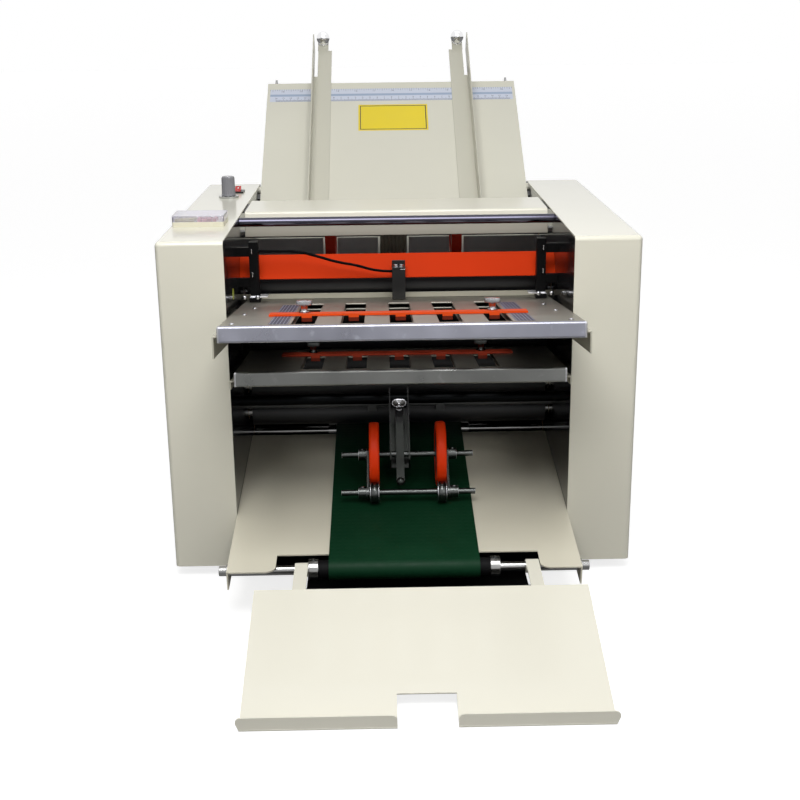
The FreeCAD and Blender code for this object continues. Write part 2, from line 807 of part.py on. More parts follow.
def cross_members():
    """Make the tie bars, the press stay and the strippers in front of the last rollers."""
    places = [("tie_front_y", "tie_low_z"), ("tie_rear_y", "tie_low_z"), ("tie_rear_y", "tie_top_z"),
              ("stay_y", "stay_z")]
    bars = [rod(f"tie_bar_{i}", "x", "tie_radius", "inner_width", (f"-{HALF_INNER}", y, z))
            for i, (y, z) in enumerate(places)]
    bars.append(rod("stripper_rod", "x", "stripper_rod_radius", "inner_width",
                    (f"-{HALF_INNER}", "stripper_rod_y", "stripper_rod_z")))
    for i, sign in enumerate("-+"):
        blank = box(f"stripper_{i}", (f"stripper_shift {sign} stripper_spacing / 2 - stripper_width / 2",
                                      "stripper_rod_y - stripper_depth / 2",
                                      "stripper_rod_z - stripper_height / 2"),
                    ("stripper_width", "stripper_depth", "stripper_height"))
        bore = rod(f"stripper_bore_{i}", "x", "stripper_rod_radius + bore_gap",
                   "stripper_width + 2 * cut_overrun",
                   (f"stripper_shift {sign} stripper_spacing / 2 - stripper_width / 2 - cut_overrun",
                    "stripper_rod_y", "stripper_rod_z"))
        bars.append(cut(f"stripper_cut_{i}", blank, bore))
    finish("cross_members", bars)
    finish("front_tie_rod", [rod("front_rod", "x", "front_rod_radius", "inner_width",
                                 (f"-{HALF_INNER}", "front_rod_y", "front_rod_z"))])


def bridge_cover():
    """Make the bent cover over the feed wheels."""
    foot = "bridge_top_z - bridge_drop"
    skin = profile("bridge_skin", "YZ_Plane",
                   [("bridge_front_y - bridge_lean", foot), ("bridge_front_y", "bridge_top_z"),
                    ("bridge_rear_y", "bridge_top_z"), ("bridge_rear_y", "bridge_top_z - bridge_return"),
                    ("bridge_rear_y - sheet_wall", "bridge_top_z - bridge_return"),
                    ("bridge_rear_y - sheet_wall", "bridge_top_z - sheet_wall"),
                    ("bridge_front_y + sheet_wall", "bridge_top_z - sheet_wall"),
                    ("bridge_front_y - bridge_lean + sheet_wall", foot)],
                   "-bridge_width / 2", "bridge_width",
                   [((1, 2), "bridge_bend"), ((5, 6), "bridge_bend - sheet_wall")])
    tab_y = "(bridge_front_y + bridge_rear_y - bridge_tab_depth) / 2"
    tab_z = "bridge_top_z - sheet_wall - bridge_tab_wall"
    tabs = [box(f"bridge_tab_{i}", (x, tab_y, tab_z),
                (f"{HALF_INNER} - bridge_width / 2 + bridge_tab_reach", "bridge_tab_depth",
                 "bridge_tab_wall"))
            for i, x in enumerate((f"-{HALF_INNER}", "bridge_width / 2 - bridge_tab_reach"))]
    finish("bridge_cover", [skin] + tabs)


def paper_guide_plate():
    """Make the leaning orange plate that runs from frame to frame."""
    face = box("guide_face", (f"-{HALF_INNER}", "0", "0"), ("inner_width", "sheet_wall", "guide_height"))
    top = box("guide_return", (f"-{HALF_INNER}", "0", "guide_height - sheet_wall"),
              ("inner_width", "guide_return", "sheet_wall"))
    finish("paper_guide_plate", [fuse("guide_sheet", face, top)], "guide_y", "guide_z", "-guide_lean")


def paper_sensor():
    """Make the sensor block, its bracket to the guide plate and its two nuts."""
    low_x = "sensor_x - sensor_width / 2"
    top = "sensor_z + sensor_height"
    body = box("sensor_body", (low_x, "sensor_y", "sensor_z"),
               ("sensor_width", "sensor_depth", "sensor_height"))
    reach = (f"guide_y + ({top} - guide_z) * tan(guide_lean) - running_gap - sensor_y")
    bracket = box("sensor_bracket", (low_x, "sensor_y", top),
                  ("sensor_width", reach, "sensor_bracket_wall"))
    head = box("sensor_head", (low_x, "sensor_y + sensor_depth", f"{top} + sensor_bracket_wall"),
               ("sensor_width", "sensor_bracket_wall", "sensor_head_rise"))
    nuts = [rod(f"sensor_nut_{i}", "z", "sensor_nut_radius", "sensor_nut_height",
                (f"sensor_x {sign} sensor_nut_spacing / 2", "sensor_y + sensor_depth / 2",
                 f"{top} + sensor_bracket_wall")) for i, sign in enumerate("-+")]
    finish("paper_sensor", [body, fuse("sensor_mount", bracket, head)] + nuts)


def tube(points, radius):
    """Sweep a round section along straight runs joined by tangent arcs, and print the radii."""
    corners = [FreeCAD.Vector(*point) for point in points]
    edges = []
    radii = []
    start = corners[0]
    for before, here, after in zip(corners, corners[1:], corners[2:]):
        inward = (here - before).normalize()
        outward = (after - here).normalize()
        turn_angle = inward.getAngle(outward)
        trim = ARC_SHARE * min((here - before).Length, (after - here).Length)
        radii.append(trim / math.tan(turn_angle / 2))
        enter = here - inward * trim
        leave = here + outward * trim
        bisector = (outward - inward).normalize()
        centre = here + bisector * (radii[-1] / math.cos(turn_angle / 2))
        middle = centre - bisector * radii[-1]
        edges.append(Part.LineSegment(start, enter).toShape())
        edges.append(Part.Arc(enter, middle, leave).toShape())
        start = leave
    edges.append(Part.LineSegment(start, corners[-1]).toShape())
    path = Part.Wire(edges)
    section = Part.Wire([Part.makeCircle(radius, corners[0], corners[1] - corners[0])])
    solid = path.makePipeShell([section], True, False)
    print("sensor lead radii", [round(value, 1) for value in radii])
    print("sensor lead volume share", round(solid.Volume / (path.Length * math.pi * radius ** 2), 4))
    return solid


def infeed_guides():
    """Make the gate and the two sheets that lead from the feed wheels to the first nip."""
    upper_mouth = f"{nip_height(0)} + mouth_over"
    gate = profile("gate_sheet", "YZ_Plane",
                   [("gate_y", "gate_top_z"), ("gate_y", "gate_foot_z + sheet_wall"),
                    ("mouth_y", f"{upper_mouth} + sheet_wall"), ("mouth_y", upper_mouth),
                    ("gate_y + sheet_wall", "gate_foot_z"), ("gate_y + sheet_wall", "gate_top_z")],
                   f"-{HALF_INNER}", "inner_width")
    cuts = []
    for i, (x, width) in enumerate(feed_wheel_places()):
        cuts.append(box(f"gate_cut_{i}", (f"{x} - {width} / 2 - gate_cut_side", "gate_y - cut_overrun",
                                          "gate_cut_z"),
                        (f"{width} + 2 * gate_cut_side", "sheet_wall + 2 * cut_overrun",
                         "gate_top_z - gate_cut_z + cut_overrun")))
    lower_mouth = f"{nip_height(0)} - mouth_under"
    lower = profile("lower_guide", "YZ_Plane",
                    [("mouth_y", lower_mouth), ("infeed_rear_y", "infeed_rear_z"),
                     ("infeed_rear_y", "infeed_rear_z - sheet_wall"),
                     ("mouth_y", f"{lower_mouth} - sheet_wall")],
                    f"-{HALF_INNER}", "inner_width")
    pad = box("pad_block", ("wheel_shift - pad_width / 2", "-pad_length / 2", "-(pad_height + pad_sink)"),
              ("pad_width", "pad_length", "pad_height"))
    pad_seat = tilted("pad_seat", [pad], "feed_contact_y", "feed_contact_z", "feed_slope")
    finish("infeed_guides", [cut("gate_cut", gate, *cuts), lower, pad_seat])


def feed_wheel_places():
    """List the middle and the width of each feed wheel."""
    return [("(wheel_shift - feed_wheel_spacing / 2)", "feed_wheel_width"),
            ("wheel_shift", "centre_wheel_width"),
            ("(wheel_shift + feed_wheel_spacing / 2)", "feed_wheel_width")]


def feed_tray():
    """Make the sloping feed tray with its flanges and side bosses."""
    half = "tray_width / 2"
    long = "tray_run + tray_foot"
    plate = box("tray_plate", (f"-{half}", "-tray_foot", "-sheet_wall"), ("tray_width", long, "sheet_wall"))
    sides = [box(f"tray_side_{i}", (x, "tray_foot", "-tray_flange"),
                 ("sheet_wall", "tray_run - tray_foot", "tray_flange"))
             for i, x in enumerate((f"-{half}", f"{half} - sheet_wall"))]
    end = box("tray_end", (f"-{half}", "tray_run - sheet_wall", "-tray_end_flange"),
              ("tray_width", "sheet_wall", "tray_end_flange"))
    notch = box("tray_notch", ("wheel_shift - pad_width / 2 - running_gap", "-tray_foot - cut_overrun",
                               "-sheet_wall - cut_overrun"),
                ("pad_width + 2 * running_gap", "tray_foot + cut_overrun + pad_length / 2 + running_gap",
                 "sheet_wall + 2 * cut_overrun"))
    bosses = [rod(f"tray_boss_{i}_{j}", "x", "boss_radius", f"({HALF_INNER} - {half})",
                  (x, run, "-boss_depth"))
              for i, x in enumerate((f"-{HALF_INNER}", half))
              for j, run in enumerate(("boss_low_run", "boss_high_run"))]
    finish("feed_tray", [cut("tray_cut", fuse("tray_sheet", plate, end, *sides, *bosses), notch)],
           "feed_contact_y", "feed_contact_z", "feed_slope")
    rail = rod("rail_rod", "x", "rail_radius", "2 * rail_half_length",
               ("-rail_half_length", "tray_run + rail_gap", "-rail_drop"))
    ears = [box(f"rail_ear_{i}", (x, "tray_run", "-rail_ear_bottom"),
                ("rail_ear", "rail_ear_reach", "rail_ear_bottom - rail_ear_top"))
            for i, x in enumerate(("-(rail_half_length + rail_ear)", "rail_half_length"))]
    finish("guide_rail", [rail] + ears, "feed_contact_y", "feed_contact_z", "feed_slope")


def mirrored_low(side, distance, width):
    """Give the low x of a piece that starts at a distance from the middle on one side."""
    return f"({distance})" if side == "right" else f"(-({distance}) - ({width}))"


def paper_guides():
    """Make the two sliding paper guides with their ball knobs."""
    for side in ("left", "right"):
        inner = "guide_half_spacing - guide_flange"
        blade = box(f"{side}_blade", (mirrored_low(side, "guide_half_spacing", "sheet_wall"),
                                      "guide_foot_run", "guide_lift"),
                    ("sheet_wall", "guide_run", "guide_blade"))
        flange = box(f"{side}_flange", (mirrored_low(side, inner, "guide_flange"), "guide_foot_run",
                                        "guide_lift"),
                     ("guide_flange", "guide_run", "sheet_wall"))
        neck = box(f"{side}_neck", (mirrored_low(side, f"{inner} + guide_neck_inset", "guide_neck_width"),
                                    "guide_foot_run + guide_run", "guide_lift"),
                   ("guide_neck_width", "guide_neck_length", "sheet_wall"))
        slot = box(f"{side}_slot",
                   (mirrored_low(side, "guide_half_spacing - guide_slot_width", "guide_slot_width"),
                                    "guide_slot_run", "guide_lift - cut_overrun"),
                   ("guide_slot_width", "guide_foot_run + guide_run - guide_slot_run + cut_overrun",
                    "sheet_wall + 2 * cut_overrun"))
        hook = box(f"{side}_hook", (mirrored_low(side, f"{inner} + hook_inset", "hook_width"),
                                    "tray_run + hook_gap",
                                    "guide_lift - hook_drop"), ("hook_width", "hook_depth", "hook_drop"))
        hook_x = mirrored_low(side, f"{inner} + hook_inset", "hook_width")
        bore = rod(f"{side}_hook_bore", "x", "rail_radius + bore_gap", "hook_width + 2 * cut_overrun",
                   (f"{hook_x} - cut_overrun", "tray_run + rail_gap", "-rail_drop"))
        sign = "" if side == "right" else "-"
        knob_x = f"{sign}({inner} + guide_neck_inset + guide_neck_width / 2)"
        hole = rod(f"{side}_knob_hole", "z", "guide_knob_shank + bore_gap", "sheet_wall + 2 * cut_overrun",
                   (knob_x, "guide_knob_run", "guide_lift - cut_overrun"))
        whole = fuse(f"{side}_guide_sheet", blade, flange, neck, hook)
        finish(f"{side}_paper_guide", [cut(f"{side}_guide_cut", whole, slot, bore, hole)],
               "feed_contact_y", "feed_contact_z", "feed_slope")
        seat = "(guide_lift + sheet_wall + running_gap)"
        ball_foot = f"{seat} + guide_knob_flange_height + guide_knob_neck"
        shank = rod(f"{side}_knob_shank", "z", "guide_knob_shank",
                    f"guide_knob_tail + {ball_foot} + guide_knob_radius",
                    (knob_x, "guide_knob_run", "-guide_knob_tail"))
        plate = rod(f"{side}_knob_plate", "z", "guide_knob_flange", "guide_knob_flange_height",
                    (knob_x, "guide_knob_run", seat))
        globe = ball(f"{side}_knob_ball", "guide_knob_radius",
                     (knob_x, "guide_knob_run", f"{ball_foot} + guide_knob_radius * knob_ball_share"))
        finish(f"{side}_guide_knob", [fuse(f"{side}_knob_all", shank, plate, globe)],
               "feed_contact_y", "feed_contact_z", "feed_slope")


def pulley(name, radius, x, place):
    """Make a rimmed belt pulley."""
    core = rod(name + "_core", "x", radius, "pulley_width", (x,) + place)
    rims = [rod(f"{name}_rim_{i}", "x", f"{radius} + pulley_rim_height", "pulley_rim", (rim_x,) + place)
            for i, rim_x in enumerate((x, f"{x} + pulley_width - pulley_rim"))]
    return [core] + rims


def feed_shaft():
    """Make the feed shaft with its pulley, and the three feed wheels on it."""
    bar = rod("feed_bar", "x", "shaft_radius",
              f"{NEAR_PULLEY_X} + pulley_width + shaft_end - {SHAFT_LEFT_X}",
              (SHAFT_LEFT_X,) + FEED_SHAFT)
    finish("feed_shaft",
           [fuse("feed_shaft_all", bar, *pulley("feed_pulley", "feed_pulley_radius", NEAR_PULLEY_X,
                                                FEED_SHAFT))])
    wheels = []
    for i, (x, width) in enumerate(feed_wheel_places()):
        wheel = ring(f"feed_wheel_{i}", "x", "feed_wheel_radius", "shaft_radius + bore_gap", width,
                     (f"{x} - {width} / 2",) + FEED_SHAFT)
        if width == "centre_wheel_width":
            pitch = f"{width} / {GROOVES}"
            first = f"{x} - {width} / 2 + {pitch} / 2 - centre_groove_width / 2"
            grooves = [ring(f"feed_groove_{g}", "x", "feed_wheel_radius + cut_overrun",
                            "feed_wheel_radius - centre_groove_depth", "centre_groove_width",
                            (f"({first} + {g} * {pitch})",) + FEED_SHAFT) for g in range(GROOVES)]
            wheel = cut("feed_wheel_ribbed", wheel, *grooves)
        wheels.append(wheel)
    finish("feed_wheels", wheels)


def involute_gear(name, phase):
    """Draw one spur gear about the x axis with its first tooth at a phase angle from +y."""
    pitch_radius = (2 * size("roller_radius") + size("nip_gap")) / 2
    module = 2 * pitch_radius / GEAR_TEETH
    tip_radius = pitch_radius + module
    root_radius = pitch_radius - ROOT_SHARE * module
    base_radius = pitch_radius * math.cos(math.radians(PRESSURE_ANGLE))
    flank_low = max(base_radius, root_radius + FLANK_START_SHARE * module)

    def involute(radius):
        ratio = math.sqrt(max((radius / base_radius) ** 2 - 1, 0))
        return ratio - math.atan(ratio)

    half_tooth = math.pi / (2 * GEAR_TEETH) * (1 - 2 * BACKLASH_SHARE) + involute(pitch_radius)
    radii = [flank_low + (tip_radius - flank_low) * i / (FLANK_POINTS - 1) for i in range(FLANK_POINTS)]
    outline = []
    for tooth in range(GEAR_TEETH):
        middle = phase + math.tau * tooth / GEAR_TEETH
        rise = [(radius, middle - half_tooth + involute(radius)) for radius in radii]
        fall = [(radius, middle + half_tooth - involute(radius)) for radius in reversed(radii)]
        outline += [(root_radius, rise[0][1])] + rise + fall + [(root_radius, fall[-1][1])]
    points = [FreeCAD.Vector(0, radius * math.cos(angle), radius * math.sin(angle))
              for radius, angle in outline]
    face = Part.Face(Part.makePolygon(points + [points[0]]))
    solid = face.extrude(FreeCAD.Vector(size("gear_width"), 0, 0))
    bore = Part.makeCylinder(size("shaft_radius") + size("bore_gap"),
                             size("gear_width") + 2 * size("cut_overrun"),
                             FreeCAD.Vector(-size("cut_overrun"), 0, 0), FreeCAD.Vector(1, 0, 0))
    return coded(name, solid.cut(bore))


def gear_phases():
    """Work out the angle of each roller's gear so that all of them are in mesh."""
    pitch = math.tau / GEAR_TEETH
    phases = [0.0]
    for k in range(ROLLERS - 1):
        here = numbers_of(roller_place(k))
        below = numbers_of(roller_place(k + 1))
        line = math.atan2(below[1] - here[1], below[0] - here[0])
        phases.append((2 * line + math.pi + pitch / 2 - phases[-1]) % pitch)
    return phases


def fold_rollers():
    """Make the six rubber-faced rollers, each with its shaft, its gear and any pulleys."""
    for k, phase in enumerate(gear_phases()):
        place = roller_place(k)
        end = f"{GEAR_X} + gear_width + shaft_end"
        pulleys = []
        if k == 0:
            end = f"{NEAR_PULLEY_X} + pulley_width + shaft_end"
            pulleys = pulley("roller_feed_pulley", "feed_pulley_radius", NEAR_PULLEY_X, place)
        if k == ROLLERS - 1:
            end = f"{FAR_PULLEY_X} + pulley_width + shaft_end"
            pulleys = (pulley("roller_motor_pulley", "driven_pulley_radius", NEAR_PULLEY_X, place)
                       + pulley("roller_exit_pulley", "exit_pulley_radius", FAR_PULLEY_X, place))
        bar = rod(f"roller_bar_{k}", "x", "shaft_radius", f"{end} - {SHAFT_LEFT_X}",
                  (SHAFT_LEFT_X,) + place)
        shaft = fuse(f"roller_shaft_{k}", bar, *pulleys) if pulleys else bar
        sleeve = ring(f"roller_sleeve_{k}", "x", "roller_radius", "shaft_radius + bore_gap", "roller_face",
                      ("-roller_face / 2",) + place)
        gear = base_at(involute_gear(f"roller_gear_{k}", phase), GEAR_X, *place)
        finish(f"fold_roller_{k + 1}", [shaft, sleeve, gear])


def roller_bushes():
    """Make the flanged bushes that carry every shaft in both frames."""
    bushes = []
    for i, (y, z) in enumerate(bush_places()):
        for side, x, flange_x in (("left", f"-({OUTSIDE})", f"-({OUTSIDE} + bush_flange)"),
                                  ("right", HALF_INNER, OUTSIDE)):
            sleeve = rod(f"{side}_bush_{i}", "x", "bush_radius", "frame_thickness", (x, y, z))
            collar = rod(f"{side}_bush_flange_{i}", "x", "bush_flange_radius", "bush_flange",
                         (flange_x, y, z))
            bore = rod(f"{side}_bush_bore_{i}", "x", "shaft_radius + bore_gap",
                       "frame_thickness + bush_flange + 2 * cut_overrun", (
                           f"{flange_x if side == 'left' else x} - cut_overrun", y, z))
            bushes.append(cut(f"{side}_bush_cut_{i}", fuse(f"{side}_bush_all_{i}", sleeve, collar), bore))
    finish("roller_bushes", bushes)


def loop_shape(first, second, thickness):
    """Draw the closed outline faces of a belt round two pulleys: centres and radii in y and z."""
    (ya, za, ra), (yb, zb, rb) = first, second
    line = math.atan2(zb - za, yb - ya)
    spread = math.acos((ra - rb) / math.hypot(yb - ya, zb - za))

    def wire(extra):
        def spot(y, z, radius, angle):
            return FreeCAD.Vector(0, y + (radius + extra) * math.cos(angle),
                                  z + (radius + extra) * math.sin(angle))
        upper = line + spread
        lower = line - spread
        edges = [
            Part.LineSegment(spot(ya, za, ra, upper), spot(yb, zb, rb, upper)).toShape(),
            Part.Arc(spot(yb, zb, rb, upper), spot(yb, zb, rb, line), spot(yb, zb, rb, lower)).toShape(),
            Part.LineSegment(spot(yb, zb, rb, lower), spot(ya, za, ra, lower)).toShape(),
            Part.Arc(spot(ya, za, ra, lower), spot(ya, za, ra, line + math.pi),
                     spot(ya, za, ra, upper)).toShape(),
        ]
        return Part.Face(Part.Wire(edges))
    return wire(thickness).cut(wire(0))


def drive_belts():
    """Make the three drive belts round their pulleys."""
    runs = [
        ("motor_belt", NEAR_PULLEY_X, ("motor_y", "motor_z"), "motor_pulley_radius",
         roller_place(ROLLERS - 1), "driven_pulley_radius"),
        ("feed_belt", NEAR_PULLEY_X, roller_place(0), "feed_pulley_radius", FEED_SHAFT,
         "feed_pulley_radius"),
        ("exit_belt", FAR_PULLEY_X, roller_place(ROLLERS - 1), "exit_pulley_radius",
         conveyor_place("rear_roller_run"), "exit_pulley_radius"),
    ]
    belts = []
    gap = size("running_gap")
    width = size("pulley_width") - 2 * (size("pulley_rim") + size("belt_side_gap"))
    for name, x, first, first_radius, second, second_radius in runs:
        face = loop_shape(numbers_of(first) + (size(first_radius) + gap,),
                          numbers_of(second) + (size(second_radius) + gap,),
                          size("belt_thickness"))
        belt = coded(name, face.extrude(FreeCAD.Vector(width, 0, 0)))
        belts.append(base_at(belt, f"{x} + pulley_rim + belt_side_gap"))
    finish("drive_belts", belts)


def drive_motor():
    """Make the motor on the right frame, its foot, and the pulley on its shaft."""
    right = HALF_INNER
    boss = rod("motor_boss", "x", "motor_boss_radius", "motor_boss_length",
               (f"{right} - motor_boss_length", "motor_y", "motor_z"))
    can = rod("motor_can", "x", "motor_radius", "motor_length",
              (f"{right} - motor_boss_length - motor_length", "motor_y", "motor_z"))
    cap = rod("motor_rear_cap", "x", "motor_radius - motor_cap_step", "motor_cap",
              (f"{right} - motor_boss_length - motor_length - motor_cap", "motor_y", "motor_z"))
    bore = rod("motor_bore", "x", "shaft_radius + bore_gap", "motor_boss_length + motor_cap + cut_overrun",
               (f"{right} - motor_boss_length - motor_cap", "motor_y", "motor_z"))
    leg_x = f"{right} - motor_boss_length - motor_foot_inset - motor_foot_length"
    foot = box("motor_foot", (leg_x, "motor_y - motor_foot_width / 2", "sheet_wall"),
               ("motor_foot_length", "motor_foot_width", "motor_foot_wall"))
    webs = [box(f"motor_web_{i}", (x, "motor_y - motor_foot_width / 2", "sheet_wall"),
                ("motor_foot_wall", "motor_foot_width", "motor_z - sheet_wall"))
            for i, x in enumerate((leg_x, f"{leg_x} + motor_foot_length - motor_foot_wall"))]
    finish("drive_motor", [cut("motor_cut", fuse("motor_body", can, cap, boss, foot, *webs), bore)])
    place = ("motor_y", "motor_z")
    shaft = rod("motor_shaft", "x", "shaft_radius",
                f"{NEAR_PULLEY_X} + pulley_width + shaft_end - {right} + motor_boss_length",
                (f"{right} - motor_boss_length",) + place)
    finish("motor_pulley",
           [fuse("motor_pulley_all", shaft, *pulley("motor_wheel", "motor_pulley_radius", NEAR_PULLEY_X,
                                                    place))])


def slot_tools(name, rear, front, low_z, tall):
    """Make the tools for the long slots of a buckle plate, between two runs."""
    return [box(f"{name}_{i}", (f"({i} - {SLOTS // 2}) * slot_pitch - slot_width / 2", f"-({front})",
                                low_z),
                ("slot_width", f"{front} - ({rear})", tall)) for i in range(SLOTS)]


def front_plates():
    """Make both front buckle plates with their bars, stops and knobs."""
    for place, nip, run, slope, stop_run, rear in (
            ("upper", 0, "upper_run", "upper_slope", "upper_stop_run", "slot_rear_run"),
            ("lower", 2, "lower_run", "lower_slope", "lower_stop_run", "slot_short_run")):
        at = ("plate_mouth_y", nip_height(nip), f"-{slope}")
        half = "plate_width / 2"
        sheets = []
        for layer, low_z in (("top", "plate_gap / 2"), ("bottom", "-plate_gap / 2 - sheet_wall")):
            blank = box(f"{place}_{layer}", (f"-{half}", f"-{run}", low_z),
                        ("plate_width", run, "sheet_wall"))
            slots = slot_tools(f"{place}_{layer}_slot", rear,
                               f"{run} - slot_end_margin", f"{low_z} - cut_overrun",
                               "sheet_wall + 2 * cut_overrun")
            sheets.append(cut(f"{place}_{layer}_cut", blank, *slots))
        for i, x in enumerate((f"-{half}", f"{half} - plate_spacer")):
            sheets.append(box(f"{place}_spacer_{i}", (x, f"-{run}", "-plate_gap / 2"),
                              ("plate_spacer", run, "plate_gap")))
        for i, x in enumerate((f"-{half} + plate_runner_inset",
                               f"{half} - plate_runner_inset - plate_runner_width")):
            sheets.append(box(f"{place}_runner_{i}", (x, f"-{run}",
                                                      "-plate_gap / 2 - sheet_wall - plate_runner_height"),
                              ("plate_runner_width", f"{run} - plate_rail_rear_run",
                               "plate_runner_height")))
        finish(f"{place}_fold_plate", sheets, *at)
        bar_top = "plate_gap / 2 + sheet_wall + bar_rise"
        bar = block(f"{place}_bar_block", ("-bar_width / 2", f"-{run} - bar_thickness",
                                           f"{bar_top} - bar_height"),
                    ("bar_width", "bar_thickness", "bar_height"),
                    ["x-y-", "x+y-", "y-z+", "y-z-", "x-z+", "x+z+"], "bar_round")
        groove = box(f"{place}_bar_groove", ("-bar_width / 2 - cut_overrun", f"-{run} - bar_groove",
                                             f"{bar_top} - bar_height + bar_groove_height"),
                     ("bar_width + 2 * cut_overrun", "bar_groove + cut_overrun", "bar_groove_height"))
        finish(f"{place}_plate_bar", [cut(f"{place}_bar_cut", bar, groove)], *at)
        stop_bar(place, stop_run, at)


def stop_bar(place, stop_run, at):
    """Make the orange stop that slides on a front plate, and its two knurled knobs."""
    top = "(plate_gap / 2 + sheet_wall + running_gap)"
    front = f"-{stop_run} - stop_depth / 2"
    strip = box(f"{place}_stop_strip", ("stop_shift - stop_width / 2", front, top),
                ("stop_width", "stop_depth", "stop_wall"))
    fingers = [box(f"{place}_finger_{i}", (f"({i} - {SLOTS // 2}) * slot_pitch - finger_width / 2", front,
                                           "-plate_gap / 2 + running_gap"),
                   ("finger_width", "finger_depth",
                    "plate_gap / 2 - running_gap + " + top)) for i in range(SLOTS)]
    knob_y = f"-{stop_run} + stop_knob_back"
    holes = []
    for side, sign in (("left", "-"), ("right", "+")):
        x = f"(stop_shift {sign} stop_knob_spacing / 2)"
        holes.append(rod(f"{place}_{side}_stop_hole", "z", "stop_knob_shank + bore_gap",
                         "stop_wall + 2 * cut_overrun",
                         (x, knob_y, f"{top} - cut_overrun")))
        seat = f"({top} + stop_wall + running_gap)"
        washer = rod(f"{place}_{side}_washer", "z", "stop_knob_washer_radius", "stop_knob_washer",
                     (x, knob_y, seat))
        neck = rod(f"{place}_{side}_neck_bar", "z", "stop_knob_neck_radius",
                   "stop_knob_washer + stop_knob_neck", (x, knob_y, seat))
        head = rod(f"{place}_{side}_head", "z", "stop_knob_radius", "stop_knob_head",
                   (x, knob_y, f"{seat} + stop_knob_washer + stop_knob_neck"))
        shank = rod(f"{place}_{side}_shank", "z", "stop_knob_shank",
                    f"{seat} + plate_gap / 2 - running_gap + stop_knob_washer",
                    (x, knob_y, "-plate_gap / 2 + running_gap"))
        finish(f"{place}_{side}_stop_knob", [fuse(f"{place}_{side}_knob_all", washer, neck, head, shank)],
               *at)
    finish(f"{place}_stop_bar",
           [cut(f"{place}_stop_cut", fuse(f"{place}_stop_all", strip, *fingers), *holes)], *at)


def plate_rails():
    """Make the cream rails under both front plates and the strip over the upper mouth."""
    solids = []
    for place, nip, run, slope, leg in (("upper", 0, "upper_run", "upper_slope", "plate_rail_leg"),
                                        ("lower", 2, "lower_run", "lower_slope", "lower_rail_leg")):
        flange_top = "(-plate_gap / 2 - sheet_wall - plate_runner_height - running_gap)"
        rails = []
        rear = "plate_rail_rear_run"
        long = f"{run} - bar_thickness - running_gap - {rear} + plate_rail_nose"
        nose = f"-({run} - bar_thickness - running_gap + plate_rail_nose)"
        for side in ("left", "right"):
            flange_x = mirrored_low(side, "plate_rail_outer - plate_rail_flange", "plate_rail_flange")
            leg_x = mirrored_low(side, "plate_rail_outer - sheet_wall", "sheet_wall")
            flange = box(f"{place}_{side}_rail_flange", (flange_x, nose, f"{flange_top} - sheet_wall"),
                         ("plate_rail_flange", long, "sheet_wall"))
            web = box(f"{place}_{side}_rail_leg", (leg_x, nose, f"{flange_top} - {leg}"),
                      ("sheet_wall", long, leg))
            clear_long = "bar_width / 2 - plate_rail_outer + plate_rail_flange + cut_overrun + running_gap"
            clear_x = mirrored_low(side, "plate_rail_outer - plate_rail_flange - cut_overrun", clear_long)
            clear = box(f"{place}_{side}_rail_clear",
                        (clear_x, f"-{run} - bar_thickness - cut_overrun - plate_rail_nose",
                         f"{flange_top} - {leg}"),
                        (clear_long, "bar_thickness + cut_overrun + plate_rail_nose + running_gap",
                         f"{leg} + cut_overrun"))
            rails.append(cut(f"{place}_{side}_rail", fuse(f"{place}_{side}_rail_sheet", flange, web),
                             clear))
        solids.append(tilted(f"{place}_rail_pair", rails, "plate_mouth_y", nip_height(nip), f"-{slope}"))
    strip_z = (f"{nip_height(0)} + (plate_gap / 2 + sheet_wall) / cos(upper_slope)"
               " + (plate_mouth_y - strip_y) * tan(upper_slope) + running_gap")
    solids.append(box("mouth_strip", (f"-{HALF_INNER}", "strip_y", strip_z),
                      ("inner_width", "sheet_wall", "strip_height")))
    finish("plate_rails", solids)


def rear_plates():
    """Make the two rear buckle plates with their wall brackets."""
    solids = []
    half = "plate_width / 2"
    for i, nip in enumerate((1, 3)):
        middle = nip_height(nip)
        for layer, low_z in (("top", f"{middle} + plate_gap / 2"),
                             ("bottom", f"{middle} - plate_gap / 2 - sheet_wall")):
            blank = box(f"rear_{i}_{layer}", (f"-{half}", "rear_plate_y", low_z),
                        ("plate_width", "rear_plate_run", "sheet_wall"))
            slots = [box(f"rear_{i}_{layer}_slot_{s}",
                         (f"({s} - {SLOTS // 2}) * slot_pitch - slot_width / 2",
                                                        "rear_plate_y + slot_short_run",
                          f"{low_z} - cut_overrun"),
                         ("slot_width", "rear_plate_run - slot_short_run - slot_end_margin",
                          "sheet_wall + 2 * cut_overrun"))
                     for s in range(SLOTS)]
            solids.append(cut(f"rear_{i}_{layer}_cut", blank, *slots))
        for j, x in enumerate((f"-{half}", f"{half} - plate_spacer")):
            solids.append(box(f"rear_{i}_spacer_{j}", (x, "rear_plate_y", f"{middle} - plate_gap / 2"),
                              ("plate_spacer", "rear_plate_run", "plate_gap")))
        low = f"{middle} - plate_gap / 2 - sheet_wall - rear_bracket_wall"
        for j, x in enumerate((f"-{HALF_INNER}", f"{HALF_INNER} - rear_bracket_width")):
            for k, y in enumerate(("rear_plate_y + slot_end_margin",
                                   "rear_plate_y + rear_plate_run - slot_end_margin - rear_bracket_width")):
                solids.append(box(f"rear_{i}_bracket_{j}_{k}", (x, y, low),
                                  ("rear_bracket_width", "rear_bracket_width", "rear_bracket_wall")))
    finish("rear_fold_plates", solids)


